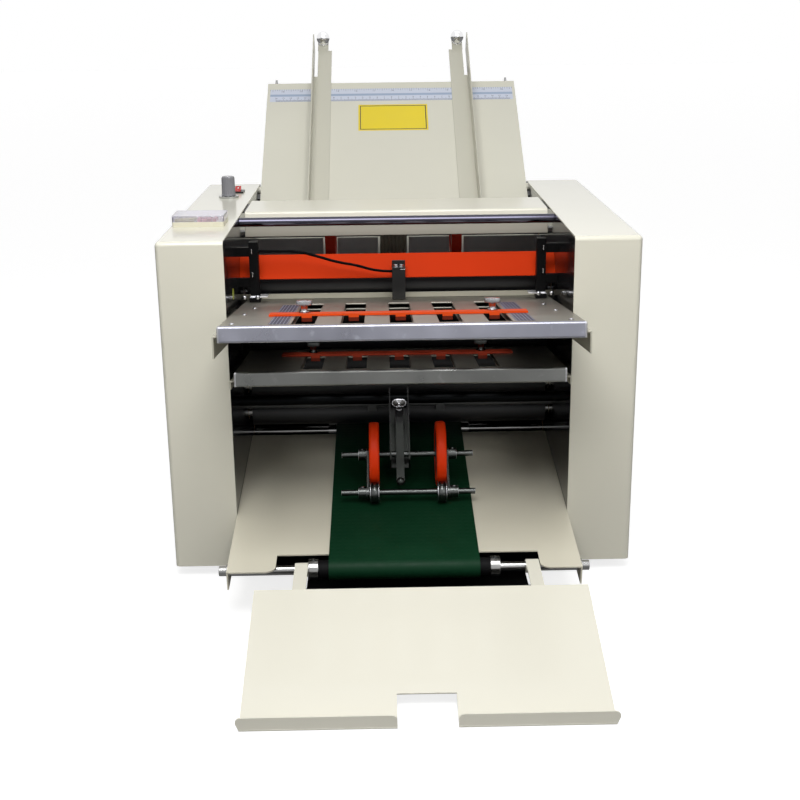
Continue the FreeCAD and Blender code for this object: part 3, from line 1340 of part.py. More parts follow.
def end_posts():
    """Make the black posts at the guide plate's ends with their feet and clips."""
    solids = []
    for side in ("left", "right"):
        post = box(f"{side}_post", (mirrored_low(side, "post_x", "post_width"), "post_y", "post_low_z"),
                   ("post_width", "post_depth", "post_height"))
        foot = box(f"{side}_post_foot",
                   (mirrored_low(side, "post_x - (post_foot_width - post_width) / 2", "post_foot_width"),
                                         "post_y - post_foot_front", "post_low_z - post_foot_height"),
                   ("post_foot_width", "post_depth + post_foot_front", "post_foot_height"))
        arms = [box(f"{side}_post_arm_{i}",
                    (mirrored_low(side, "post_x + post_width", f"{HALF_INNER} - post_x - post_width"),
                                             "post_y + (post_depth - post_arm_depth) / 2", z),
                    (f"{HALF_INNER} - post_x - post_width", "post_arm_depth", "post_arm_height"))
                for i, z in enumerate(("post_low_z + post_arm_height",
                                       "post_low_z + post_arm_height + post_arm_step"))]
        solids.append(fuse(f"{side}_post_all", post, foot, *arms))
        solids.append(box(f"{side}_post_clip", (mirrored_low(side, "post_x - clip_width", "clip_width"),
                                                "post_y - post_foot_front", "post_low_z"),
                          ("clip_width", "clip_depth", "clip_wall")))
    finish("end_posts", solids)


def conveyor():
    """Make the conveyor's table, belt, fixed shaft and two rollers."""
    at = ("conveyor_y", "conveyor_z", "belt_slope")
    half = "table_width / 2"
    left = "table_notch_shift - table_notch / 2"
    right = "table_notch_shift + table_notch / 2"
    top = profile("table_top", "XY_Plane",
                  [(f"-{half}", "0"), (left, "0"), (left, "table_notch_run"), (right, "table_notch_run"),
                   (right, "0"),
                   (half, "0"), (half, "table_run"), (f"-{half}", "table_run")],
                  "-sheet_wall", "sheet_wall", [((1, 4), "table_round")])
    sides = []
    for i, x in enumerate((f"-{half}", f"{half} - sheet_wall")):
        flange = box(f"table_side_{i}", (x, "0", "-table_flange"),
                     ("sheet_wall", "table_run", "table_flange"))
        hole = rod(f"table_hole_{i}", "x", "shaft_radius + bore_gap", "sheet_wall + 2 * cut_overrun",
                   (f"{x} - cut_overrun", "front_roller_run", BELT_DEPTH))
        sides.append(cut(f"table_side_cut_{i}", flange, hole))
    finish("conveyor_table", [fuse("table_all", top, *sides)], *at)

    span = "rear_roller_run - front_roller_run"
    inner = "conveyor_roller_radius + running_gap"

    def stadium(name, radius, x, width):
        ends = [rod(f"{name}_end_{i}", "x", radius, width, (x, run, BELT_DEPTH))
                for i, run in enumerate(("front_roller_run", "rear_roller_run"))]
        return fuse(name, box(f"{name}_middle", (x, "front_roller_run", f"{BELT_DEPTH} - ({radius})"),
                              (width, span, f"2 * ({radius})")), *ends)

    skin = stadium("belt_skin", f"{inner} + conveyor_belt_thickness", "-conveyor_belt_width / 2",
                   "conveyor_belt_width")
    core = stadium("belt_core", inner, "-conveyor_belt_width / 2 - cut_overrun",
                   "conveyor_belt_width + 2 * cut_overrun")
    finish("conveyor_belt", [cut("belt_loop", skin, core)], *at)

    shaft = rod("conveyor_rod", "x", "shaft_radius", "conveyor_shaft_length",
                ("-conveyor_shaft_length / 2", "front_roller_run", BELT_DEPTH))
    clear = "conveyor_roller_length / 2 + running_gap"
    collars = [ring(f"collar_{i}", "x", "collar_radius", "shaft_radius + bore_gap", "collar_width",
                    (x, "front_roller_run", BELT_DEPTH))
               for i, x in enumerate((f"-({clear}) - collar_width", clear))]
    clips = [ring(f"end_clip_{i}", "x", "clip_ring_radius", "shaft_radius + bore_gap", "clip_ring_wall",
                  (x, "front_roller_run", BELT_DEPTH))
             for i, x in enumerate((f"-({half} + running_gap) - clip_ring_wall", f"{half} + running_gap"))]
    finish("conveyor_shaft", [shaft] + collars + clips, *at)

    front = ring("front_roller_tube", "x", "conveyor_roller_radius", "shaft_radius + bore_gap",
                 "conveyor_roller_length",
                 ("-conveyor_roller_length / 2", "front_roller_run", BELT_DEPTH))
    finish("front_roller", [front], *at)
    rear_axis = ("rear_roller_run", BELT_DEPTH)
    rear = ring("rear_roller_tube", "x", "conveyor_roller_radius", "shaft_radius + bore_gap",
                "conveyor_roller_length",
                ("-conveyor_roller_length / 2",) + rear_axis)
    bar = rod("rear_roller_bar", "x", "shaft_radius",
              f"{FAR_PULLEY_X} + pulley_width + shaft_end - {SHAFT_LEFT_X}", (SHAFT_LEFT_X,) + rear_axis)
    finish("rear_roller",
           [rear, fuse("rear_roller_shaft", bar, *pulley("rear_roller_pulley", "exit_pulley_radius",
                                                         FAR_PULLEY_X, rear_axis))], *at)


def wheel_height(y, radius):
    """Give the height formula of a wheel's axis over the belt at a place along the machine."""
    top = "(conveyor_belt_thickness + belt_lift + running_gap)"
    return f"(conveyor_z + ({y} - conveyor_y) * tan(belt_slope) + ({radius} + {top}) / cos(belt_slope))"


def arm_direction():
    """Give the press arm's slope and its length from the press shaft to the stay."""
    rise = f"(stay_z - {wheel_height('press_shaft_y', 'press_wheel_radius')})"
    run = "(stay_y - press_shaft_y)"
    return f"atan({rise} / {run})", f"sqrt({rise} ^ 2 + {run} ^ 2)"


def press_unit():
    """Make the press arm, its wheels, the trailing wheels and the thumb screw."""
    height = wheel_height("press_shaft_y", "press_wheel_radius")
    slope, long = arm_direction()
    at = ("press_shaft_y", height, slope)
    middle = "(press_x - press_arm_shift)"
    low_x = f"{middle} - arm_width / 2"
    channel = box("arm_channel", (low_x, "-arm_tip", "-arm_below"),
                  ("arm_width", f"{long} + arm_tip + arm_tail", "arm_depth"))
    hollow = box("arm_hollow", (f"{middle} - arm_width / 2 + arm_wall", "-arm_tip - cut_overrun",
                                "-arm_below + arm_wall"),
                 ("arm_width - 2 * arm_wall", f"{long} + arm_tip + arm_tail + 2 * cut_overrun",
                  "arm_depth"))
    through = ("arm_width + 2 * cut_overrun")
    stay_bore = rod("arm_stay_bore", "x", "tie_radius + bore_gap", through,
                    (f"{low_x} - cut_overrun", long, "0"))
    shaft_bore = rod("arm_shaft_bore", "x", "press_shaft_radius + bore_gap", through,
                     (f"{low_x} - cut_overrun", "0", "0"))
    screw_bore = rod("arm_screw_bore", "z", "press_screw_shank + bore_gap", "arm_depth + arm_below",
                     (middle, "press_screw_run", "-arm_below - cut_overrun"))
    strip = box("arm_strip", (f"{middle} - bar_strip_width / 2", "-bar_strip_tip", "bar_strip_lift"),
                ("bar_strip_width", f"{long} + bar_strip_tip - bar_strip_tail", "bar_strip_wall"))
    spacer = box("arm_spacer", (f"{middle} - bar_strip_width / 2", "arm_spacer_run - arm_spacer_length",
                                "-arm_below + arm_wall"),
                 ("bar_strip_width", "2 * arm_spacer_length", "arm_below - arm_wall + bar_strip_lift"))
    tip = ball("arm_ball", "arm_ball_radius", (middle, "-bar_strip_tip",
                                               "bar_strip_lift + bar_strip_wall / 2"))
    frame = cut("arm_frame", channel, hollow)
    whole = fuse("arm_all", frame, strip, spacer, tip)
    finish("press_arm", [cut("arm_cut", whole, stay_bore, shaft_bore, screw_bore)], *at)

    seat = "(bar_strip_lift + bar_strip_wall + running_gap)"
    shank = rod("press_screw_bar", "z", "press_screw_shank",
                f"{seat} + press_screw_nut + press_screw_neck + arm_below",
                (middle, "press_screw_run", "-arm_below"))
    nut = rod("press_screw_collar", "z", "press_screw_nut_radius", "press_screw_nut",
              (middle, "press_screw_run", seat))
    head = cone("press_screw_top", "z", "press_screw_nut_radius", "press_screw_head_radius",
                "press_screw_head",
                (middle, "press_screw_run",
                 f"{seat} + press_screw_nut + press_screw_neck - cut_overrun"))
    finish("press_screw", [fuse("press_screw_all", shank, nut, head)], *at)

    axis = ("press_shaft_y", height)
    bar = rod("press_bar", "x", "press_shaft_radius", "press_shaft_length",
              ("press_x - press_shaft_length / 2",) + axis)
    outer = "(press_wheel_spacing / 2 + press_wheel_width / 2 + running_gap)"
    plate_x = f"({outer} + running_gap)"
    collar_x = f"({plate_x} + trailing_arm_wall + running_gap)"
    collars = [ring(f"press_collar_{side}", "x", "press_collar_radius", "press_shaft_radius + bore_gap",
                    "press_collar_width",
                    ("press_x + " + mirrored_low(side, collar_x, "press_collar_width"),
                     ) + axis) for side in ("left", "right")]
    finish("press_shaft", [bar] + collars)
    wheels = []
    for side in ("left", "right"):
        x = "press_x + " + mirrored_low(side, "press_wheel_spacing / 2 - press_wheel_width / 2",
                                        "press_wheel_width")
        web_x = "press_x + " + mirrored_low(side, "press_wheel_spacing / 2 - press_web / 2", "press_web")
        tyre = ring(f"press_tyre_{side}", "x", "press_wheel_radius", "press_wheel_radius - press_rim",
                    "press_wheel_width", (x,) + axis)
        web = rod(f"press_web_{side}", "x", "press_wheel_radius - press_rim + bore_gap", "press_web",
                  (web_x,) + axis)
        hub = rod(f"press_hub_{side}", "x", "press_hub_radius", "press_wheel_width", (x,) + axis)
        bore = rod(f"press_bore_{side}", "x", "press_shaft_radius + bore_gap",
                   "press_wheel_width + 2 * cut_overrun",
                   (f"{x} - cut_overrun",) + axis)
        wheels.append(cut(f"press_wheel_{side}", fuse(f"press_wheel_all_{side}", tyre, web, hub), bore))
    finish("press_wheels", wheels)

    low_axis = ("trailing_y", wheel_height("trailing_y", "trailing_wheel_radius"))
    trailing_arms(axis, low_axis, plate_x, collar_x)


def trailing_arms(axis, low_axis, plate_x, collar_x):
    """Make the two links, the trailing shaft with its collars, and the trailing wheels."""
    drop = f"({axis[1]} - {low_axis[1]})"
    reach = f"({axis[0]} - {low_axis[0]})"
    long = f"sqrt({drop} ^ 2 + {reach} ^ 2)"
    links = []
    for side in ("left", "right"):
        x = "press_x + " + mirrored_low(side, plate_x, "trailing_arm_wall")
        strap = tilted(f"link_strap_{side}", [box(f"link_bar_{side}", (x, "0", "-trailing_arm_width / 2"),
                                                  ("trailing_arm_wall", long, "trailing_arm_width"))],
                       *low_axis, f"atan({drop} / {reach})")
        ends = [rod(f"link_end_{side}_{i}", "x", "trailing_arm_width / 2", "trailing_arm_wall",
                    (x,) + place)
                for i, place in enumerate((axis, low_axis))]
        bores = [rod(f"link_bore_{side}_{i}", "x", "press_shaft_radius + bore_gap",
                     "trailing_arm_wall + 2 * cut_overrun",
                     (f"{x} - cut_overrun",) + place) for i, place in enumerate((axis, low_axis))]
        links.append(cut(f"link_{side}", fuse(f"link_all_{side}", strap, *ends), *bores))
    bar = rod("trailing_bar", "x", "press_shaft_radius", "press_shaft_length",
              ("press_x - press_shaft_length / 2",) + low_axis)
    collars = [ring(f"trailing_collar_{side}", "x", "press_collar_radius", "press_shaft_radius + bore_gap",
                    "press_collar_width",
                    ("press_x + " + mirrored_low(side, collar_x, "press_collar_width"),
                     ) + low_axis) for side in ("left", "right")]
    finish("trailing_arms", links + [bar] + collars)
    wheels = [ring(f"trailing_wheel_{side}", "x", "trailing_wheel_radius", "press_shaft_radius + bore_gap",
                   "trailing_wheel_width",
                   ("press_x + " + mirrored_low(side, "press_wheel_spacing / 2 - trailing_wheel_width / 2",
                                                "trailing_wheel_width"),) + low_axis)
              for side in ("left", "right")]
    finish("trailing_wheels", wheels)


def delivery_tray():
    """Make the delivery tray that hooks over the conveyor's front shaft and rests on the floor."""
    hinge = conveyor_place("front_roller_run")
    reach = (f"(({hinge[1]} + foot_height - running_gap + (delivery_rise - sheet_wall) * cos(delivery_slope))"
             " / sin(delivery_slope))")
    left = "delivery_shift - delivery_width / 2"
    right = "delivery_shift + delivery_width / 2"
    notch_left = "delivery_shift - delivery_notch / 2"
    notch_right = "delivery_shift + delivery_notch / 2"
    plate = profile("delivery_plate", "XY_Plane",
                    [(left, f"-{reach}"), (notch_left, f"-{reach}"),
                     (notch_left, f"-{reach} + delivery_notch_run"),
                     (notch_right, f"-{reach} + delivery_notch_run"), (notch_right, f"-{reach}"),
                     (right, f"-{reach}"),
                     (right, "-delivery_back"), (left, "-delivery_back")],
                    "delivery_rise - sheet_wall", "sheet_wall")
    lips = []
    for side, low, high, flare_low, flare_high in (
            ("left", left, notch_left, "delivery_lip_flare", "0"),
                                                   ("right", notch_right, right, "0",
                                                    "delivery_lip_flare")):
        lip = profile(f"delivery_lip_{side}", "XZ_Plane",
                      [(low, "0"), (high, "0"), (f"{high} + {flare_high}", "delivery_lip"),
                       (f"{low} - {flare_low}", "delivery_lip")],
                      "0", "sheet_wall", [((2, 3), "delivery_lip_round")])
        turn(lip, (1, 0, 0), "delivery_lip_lean - delivery_slope")
        base_at(lip, "0", f"-{reach} + sheet_wall * cos(delivery_lip_lean - delivery_slope)",
                "delivery_rise - sheet_wall")
        lips.append(lip)
    eye = "(shaft_radius + bore_gap + eye_wall)"
    legs = []
    bores = []
    for side, x in (("left", "left_leg_x"), ("right", "right_leg_x")):
        legs.append(profile(f"delivery_leg_{side}", "YZ_Plane",
                            [("-delivery_back - sheet_wall", "delivery_rise"), ("0", eye),
                             ("0", f"{eye} - sheet_wall"),
                             ("-delivery_back - sheet_wall", "delivery_rise - sheet_wall")], x,
                            "leg_width"))
        legs.append(rod(f"delivery_eye_{side}", "x", eye, "leg_width", (x, "0", "0")))
        bores.append(rod(f"delivery_bore_{side}", "x", "shaft_radius + bore_gap",
                         "leg_width + 2 * cut_overrun",
                         (f"{x} - cut_overrun", "0", "0")))
    finish("delivery_tray", [cut("delivery_cut", fuse("delivery_all", plate, *lips, *legs), *bores)],
           hinge[0], hinge[1], "delivery_slope")


def counter():
    """Make the counter's housing with its row of keys, and its window."""
    low_x = "counter_x - counter_width / 2"
    shell = block("counter_shell", (low_x, "counter_y", "machine_height"),
                  ("counter_width", "counter_depth", "counter_height"),
                  ["x-y-", "x+y-", "x-y+", "x+y+"], "counter_round")
    pocket = box("counter_pocket", (f"{low_x} + counter_wall", "counter_y + counter_wall",
                                    "machine_height + counter_height - counter_step"),
                 ("counter_width - 2 * counter_wall", "counter_depth - 2 * counter_wall",
                  "counter_step + cut_overrun"))
    body = box("counter_body", (f"{low_x} + counter_body_inset + running_gap",
                                "counter_y + counter_body_inset + running_gap",
                                "machine_height - counter_body_depth"),
               ("counter_width - 2 * (counter_body_inset + running_gap)",
                "counter_depth - 2 * (counter_body_inset + running_gap)",
                "counter_body_depth"))
    keys = [box(f"counter_key_{i}",
                (f"counter_x + ({i} - {KEYS // 2}) * counter_key_pitch - counter_key_size / 2",
                                     "counter_y + counter_wall + counter_key_depth / 2",
                 "machine_height + counter_height - counter_step"),
                ("counter_key_size", "counter_key_depth", "counter_step / 2")) for i in range(KEYS)]
    window_y = "counter_y + counter_wall + 2 * counter_key_depth"
    window = box("counter_glass", (f"{low_x} + counter_wall + running_gap", window_y,
                                   "machine_height + counter_height - counter_step"),
                 ("counter_width - 2 * (counter_wall + running_gap)",
                  f"counter_y + counter_depth - counter_wall - running_gap - ({window_y})", "counter_step"))
    finish("counter_box", [fuse("counter_all", cut("counter_cut", shell, pocket), body), window] + keys)


def panel_controls():
    """Make the speed knob with its ring and potentiometer, and the rocker switch."""
    ring_part = ring("knob_ring", "z", "knob_ring_radius", "knob_shaft_radius + running_gap",
                     "knob_ring_height",
                     ("knob_x", "knob_y", "machine_height"))
    pot = ring("knob_pot", "z", "pot_radius", "knob_shaft_radius + bore_gap", "pot_height",
               ("knob_x", "knob_y", "machine_height - cover_wall - pot_height"))
    low_x = "switch_x - switch_width / 2"
    low_y = "switch_y - switch_depth / 2"
    rim = box("switch_rim_plate", (low_x, low_y, "machine_height"),
              ("switch_width", "switch_depth", "switch_rim_height"))
    case = box("switch_case", (f"{low_x} + switch_rim + running_gap", f"{low_y} + switch_rim + running_gap",
                               "machine_height - switch_body_depth"),
               ("switch_width - 2 * (switch_rim + running_gap)",
                "switch_depth - 2 * (switch_rim + running_gap)", "switch_body_depth"))
    well = box("switch_well", (f"{low_x} + switch_rim + sheet_wall", f"{low_y} + switch_rim + sheet_wall",
                               "machine_height - switch_body_depth + sheet_wall"),
               ("switch_width - 2 * (switch_rim + sheet_wall)",
                "switch_depth - 2 * (switch_rim + sheet_wall)",
                "switch_body_depth + switch_rim_height"))
    span = "(switch_width - 2 * (switch_rim + sheet_wall))"
    pin = rod("rocker_pin", "x", "rocker_pin_radius", f"{span} + 2 * cut_overrun",
              (f"switch_x - {span} / 2 - cut_overrun", "switch_y", ROCKER_PIVOT_Z))
    switch = fuse("switch_body", cut("switch_cut", fuse("switch_all", rim, case), well), pin)
    finish("electrical_fittings", [ring_part, pot, switch, power_inlet()])

    seat = "(machine_height + knob_ring_height + running_gap)"
    grip = cone("knob_grip", "z", "knob_radius", "knob_radius - knob_taper", "knob_height",
                ("knob_x", "knob_y", seat))
    stem = rod("knob_stem", "z", "knob_shaft_radius",
               f"{seat} + cut_overrun - (machine_height - cover_wall - pot_height)",
               ("knob_x", "knob_y", "machine_height - cover_wall - pot_height"))
    mark = box("knob_mark", ("knob_x - knob_mark_width / 2", "knob_y - knob_radius",
                             f"{seat} + knob_height"),
               ("knob_mark_width", "knob_radius", "knob_mark_height"))
    finish("speed_knob", [fuse("knob_all", grip, stem, mark)])

    wide = "(switch_width - 2 * (switch_rim + sheet_wall + running_gap))"
    deep = "(switch_depth - 2 * (switch_rim + sheet_wall + rocker_end_gap))"
    rocker = profile("rocker_shape", "YZ_Plane",
                     [(f"-{deep} / 2", "rocker_height / 2"),
                      ("0", "rocker_height / 2 - rocker_height * sin(rocker_tilt)"),
                      (f"{deep} / 2", "rocker_height / 2"),
                      (f"{deep} / 2 * rocker_foot_share", "-rocker_height / 2"),
                      (f"-{deep} / 2 * rocker_foot_share", "-rocker_height / 2")],
                     f"switch_x - {wide} / 2", wide)
    bore = rod("rocker_bore", "x", "rocker_pin_radius + bore_gap", f"{wide} + 2 * cut_overrun",
               (f"switch_x - {wide} / 2 - cut_overrun", "0", "0"))
    finish("power_rocker", [cut("rocker_cut", rocker, bore)], "switch_y", ROCKER_PIVOT_Z, "rocker_tilt")


def power_inlet():
    """Make the mains inlet in the left cover's rear wall."""
    low_x = "inlet_x - inlet_width / 2"
    low_z = "inlet_z - inlet_height / 2"
    rim = box("inlet_flange", (low_x, "machine_depth", low_z),
              ("inlet_width", "inlet_rim_height", "inlet_height"))
    case = box("inlet_case", (f"{low_x} + inlet_rim + running_gap", "machine_depth - inlet_depth",
                              f"{low_z} + inlet_rim + running_gap"),
               ("inlet_width - 2 * (inlet_rim + running_gap)", "inlet_depth + cut_overrun",
                "inlet_height - 2 * (inlet_rim + running_gap)"))
    socket = box("inlet_socket", (f"{low_x} + inlet_rim + inlet_wall",
                                  "machine_depth + inlet_rim_height - inlet_socket_depth",
                                  f"{low_z} + inlet_rim + inlet_wall"),
                 ("inlet_width - 2 * (inlet_rim + inlet_wall)", "inlet_socket_depth + cut_overrun",
                  "inlet_height - 2 * (inlet_rim + inlet_wall)"))
    return cut("inlet_cut", fuse("inlet_all", rim, case), socket)


def check_all():
    """Stop if any object failed or any sub-part has no valid solids."""
    for thing in DOC.Objects:
        if "Invalid" in thing.State or "Error" in thing.State:
            raise RuntimeError(f"{thing.Name} failed: {thing.State}")
    for part in SUB_PARTS:
        if part.Shape.isNull() or not part.Shape.isValid() or not part.Shape.Solids:
            raise RuntimeError(f"{part.Label} has no valid solids")


def export_all():
    """Write each sub-part to a file of its own name."""
    os.makedirs("parts", exist_ok=True)
    for part in SUB_PARTS:
        part.Shape.exportStep(f"parts/{part.Label}.step")


fill_sheet()
side_frames()
covers()
base_pan()
rubber_feet()
cross_members()
bridge_cover()
paper_guide_plate()
paper_sensor()
finish("sensor_lead", [coded("lead_tube", tube(LEAD_POINTS, size("lead_radius")))])
infeed_guides()
feed_tray()
paper_guides()
feed_shaft()
fold_rollers()
roller_bushes()
drive_belts()
drive_motor()
front_plates()
plate_rails()
rear_plates()
end_posts()
conveyor()
press_unit()
delivery_tray()
counter()
panel_controls()
DOC.recompute()
check_all()
export_all()
print("sub-parts", len(SUB_PARTS), "solids", sum(len(part.Shape.Solids) for part in SUB_PARTS))
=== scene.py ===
"""The finishes, small details, light and camera of a paper folding machine.

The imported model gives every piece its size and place. This script gives the pieces their paint, metal,
rubber and print, builds the details that are too fine for the model, and sets up a plain studio around the
machine. All lengths are metres. X runs to the right of someone in front of the machine, Y to its rear and
Z up.
"""
import logging
import math
from dataclasses import dataclass, field, replace
from enum import Enum

import bmesh
import bpy
from mathutils import Matrix, Vector


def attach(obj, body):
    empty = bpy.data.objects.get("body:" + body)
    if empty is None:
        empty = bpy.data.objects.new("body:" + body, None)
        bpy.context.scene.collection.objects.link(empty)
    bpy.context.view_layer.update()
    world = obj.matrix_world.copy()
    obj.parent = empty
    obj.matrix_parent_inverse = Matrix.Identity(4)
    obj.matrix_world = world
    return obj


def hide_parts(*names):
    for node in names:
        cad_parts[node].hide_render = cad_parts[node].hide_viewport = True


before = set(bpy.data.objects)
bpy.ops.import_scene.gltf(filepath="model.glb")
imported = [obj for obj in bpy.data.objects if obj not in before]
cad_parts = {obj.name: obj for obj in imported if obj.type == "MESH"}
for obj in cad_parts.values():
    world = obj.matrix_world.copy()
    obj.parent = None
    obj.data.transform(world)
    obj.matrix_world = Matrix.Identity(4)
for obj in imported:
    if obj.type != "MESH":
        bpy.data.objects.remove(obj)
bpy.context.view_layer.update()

Triple = tuple[float, float, float]
Pair = tuple[float, float]

LOG = logging.getLogger("paper_folder")
WHITE = (1.0, 1.0, 1.0)
EVEN = (1.0, 1.0, 1.0)
THIN = 0.0001
PRINT_RISE = 0.00004
FULL_TURN = math.tau


def srgb(red: float, green: float, blue: float) -> Triple:
    """Turn a colour as seen on a screen, 0 to 255, into the linear colour that a shader takes."""
    shares = [value / 255 for value in (red, green, blue)]
    return tuple(s / 12.92 if s <= 0.04045 else ((s + 0.055) / 1.055) ** 2.4 for s in shares)


class Axis(Enum):
    """The line that a turned piece turns about."""

    X = "x"
    Y = "y"
    Z = "z"


class Body(str, Enum):
    """The moving bodies that the pieces of this script ride on."""

    FRAME = "frame"
    FEED = "feed_rotor"
    UPPER_PLATE = "upper_plate"
    UPPER_LEFT_KNOB = "upper_left_stop_knob"
    UPPER_RIGHT_KNOB = "upper_right_stop_knob"
    LOWER_PLATE = "lower_plate"
    LOWER_LEFT_KNOB = "lower_left_stop_knob"
    LOWER_RIGHT_KNOB = "lower_right_stop_knob"
    PRESS_SCREW = "press_screw"
    PRESS_WHEELS = "press_wheel_set"
    TRAILING_ARMS = "trailing_arms"
    TRAILING_WHEELS = "trailing_wheels"
    SPEED_KNOB = "speed_knob"
    ROCKER = "power_rocker"


class Slot(str, Enum):
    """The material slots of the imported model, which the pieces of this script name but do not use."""

    ORANGE_RUBBER = "orange_rubber"
    ROLLER_RUBBER = "roller_rubber"
    BLACK_RUBBER = "black_rubber"
    BLACK_PLASTIC = "black_plastic"
    GREY_PLASTIC = "grey_plastic"
    RED_PLASTIC = "red_plastic"
    CLEAR_PLASTIC = "clear_plastic"
    BRIGHT_STEEL = "bright_steel"
    CHROME = "chrome"


@dataclass(frozen=True)
class Slope:
    """The own frame of a sheet that leans: X across, Y along it to the rear, Z off its face."""

    start_y: float
    start_z: float
    lean: float

    def matrix(self) -> Matrix:
        """Give the matrix that takes a point of the sheet's frame to the machine's frame."""
        turn = Matrix.Rotation(math.radians(self.lean), 4, "X")
        return Matrix.Translation((0, self.start_y, self.start_z)) @ turn


LEVEL = Slope(0.0, 0.0, 0.0)
TRAY_SLOPE = Slope(0.1315, 0.2926, 34.5)
UPPER_SLOPE = Slope(-0.0246, 0.26495, -7.5)
LOWER_SLOPE = Slope(-0.0246, 0.20555, -7.0)
PRESS_SLOPE = Slope(-0.1226, 0.1156, 39.627)


class Bench:
    """Lays out the nodes of one material."""

    def __init__(self, name: str) -> None:
        """Start a material with its usual shader.

        Args:
            name: The material's name.
        """
        self.material = bpy.data.materials.new(name)
        self.material.use_nodes = True
        self.tree = self.material.node_tree
        self.shader = self.tree.nodes["Principled BSDF"]
        self.coordinates = self.tree.nodes.new("ShaderNodeTexCoord").outputs["Object"]

    def add(self, kind: str, inputs: dict, **settings: object) -> bpy.types.Node:
        """Add a node.

        Args:
            kind: The node's type, without its usual first letters.
            inputs: Values or sockets for the node's inputs, by name or number.
            settings: Values for the node's own properties.

        Returns:
            The new node.
        """
        node = self.tree.nodes.new("ShaderNode" + kind)
        for key, value in settings.items():
            setattr(node, key, value)
        for key, value in inputs.items():
            self.feed(node, key, value)
        return node

    def feed(self, node: bpy.types.Node, key: str | int, value: object) -> None:
        """Give one input of a node a value, or link a socket to it."""
        if isinstance(value, bpy.types.NodeSocket):
            self.tree.links.new(value, node.inputs[key])
        elif isinstance(value, tuple) and len(value) == 3 and node.inputs[key].type == "RGBA":
            node.inputs[key].default_value = (*value, 1.0)
        else:
            node.inputs[key].default_value = value

    def stretched(self, stretch: Triple) -> bpy.types.NodeSocket:
        """Give the piece's own coordinates, stretched along the three axes."""
        return self.add("Mapping", {"Vector": self.coordinates, "Scale": stretch}).outputs["Vector"]

    def noise(self, scale: float, detail: float = 3.0, stretch: Triple = EVEN) -> bpy.types.NodeSocket:
        """Give a soft random pattern.

        Args:
            scale: Waves to the metre.
            detail: How many finer patterns lie on it.
            stretch: How much denser the pattern is along each axis.

        Returns:
            A socket from 0 to 1.
        """
        node = self.add("TexNoise", {"Vector": self.stretched(stretch), "Scale": scale, "Detail": detail})
        return node.outputs["Fac"]

    def spread(self, value: bpy.types.NodeSocket, low: float, high: float, new_low: float = 0.0,
               new_high: float = 1.0) -> bpy.types.NodeSocket:
        """Map a span of a value to another span, and hold it there."""
        node = self.add("MapRange", {"Value": value, "From Min": low, "From Max": high, "To Min": new_low,
                                     "To Max": new_high})
        return node.outputs["Result"]

    def sums(self, operation: str, first: object, second: object) -> bpy.types.NodeSocket:
        """Give the result of one sum on two values."""
        return self.add("Math", {0: first, 1: second}, operation=operation).outputs[0]

    def mixed(self, share: object, first: object, second: object) -> bpy.types.NodeSocket:
        """Mix two colours by a share."""
        return self.add("Mix", {0: share, 6: first, 7: second}, data_type="RGBA").outputs[2]

    def between(self, share: object, first: object, second: object) -> bpy.types.NodeSocket:
        """Mix two plain values by a share."""
        return self.add("Mix", {0: share, 2: first, 3: second}, data_type="FLOAT").outputs[0]

    def bump(self, height: bpy.types.NodeSocket, depth: float, below: object = None) -> bpy.types.NodeSocket:
        """Turn a pattern into relief of a real depth, on top of another relief if there is one."""
        inputs = {"Height": height, "Distance": depth, "Strength": 1.0}
        if below is not None:
            inputs["Normal"] = below
        return self.add("Bump", inputs).outputs["Normal"]

    def inside(self, low: tuple, high: tuple) -> bpy.types.NodeSocket:
        """Give 1 inside a block of the piece's own space and 0 outside it.

        Args:
            low: The block's low corner, with None where it has no limit.
            high: Its high corner.

        Returns:
            A socket that is 0 or 1.
        """
        split = self.add("SeparateXYZ", {0: self.coordinates})
        share = None
        for number, (start, end) in enumerate(zip(low, high)):
            if start is None:
                continue
            node = self.add("Math", {0: split.outputs[number], 1: (start + end) / 2, 2: (end - start) / 2},
                            operation="COMPARE")
            share = node.outputs[0] if share is None else self.sums("MULTIPLY", share, node.outputs[0])
        return share


@dataclass(frozen=True)
class Patch:
    """A block-shaped region of a node that is coloured otherwise than the rest: another material, painted
    shade, or a painted highlight.
    """

    low: tuple
    high: tuple
    colour: Triple
    roughness: float
    metallic: float = 0.0


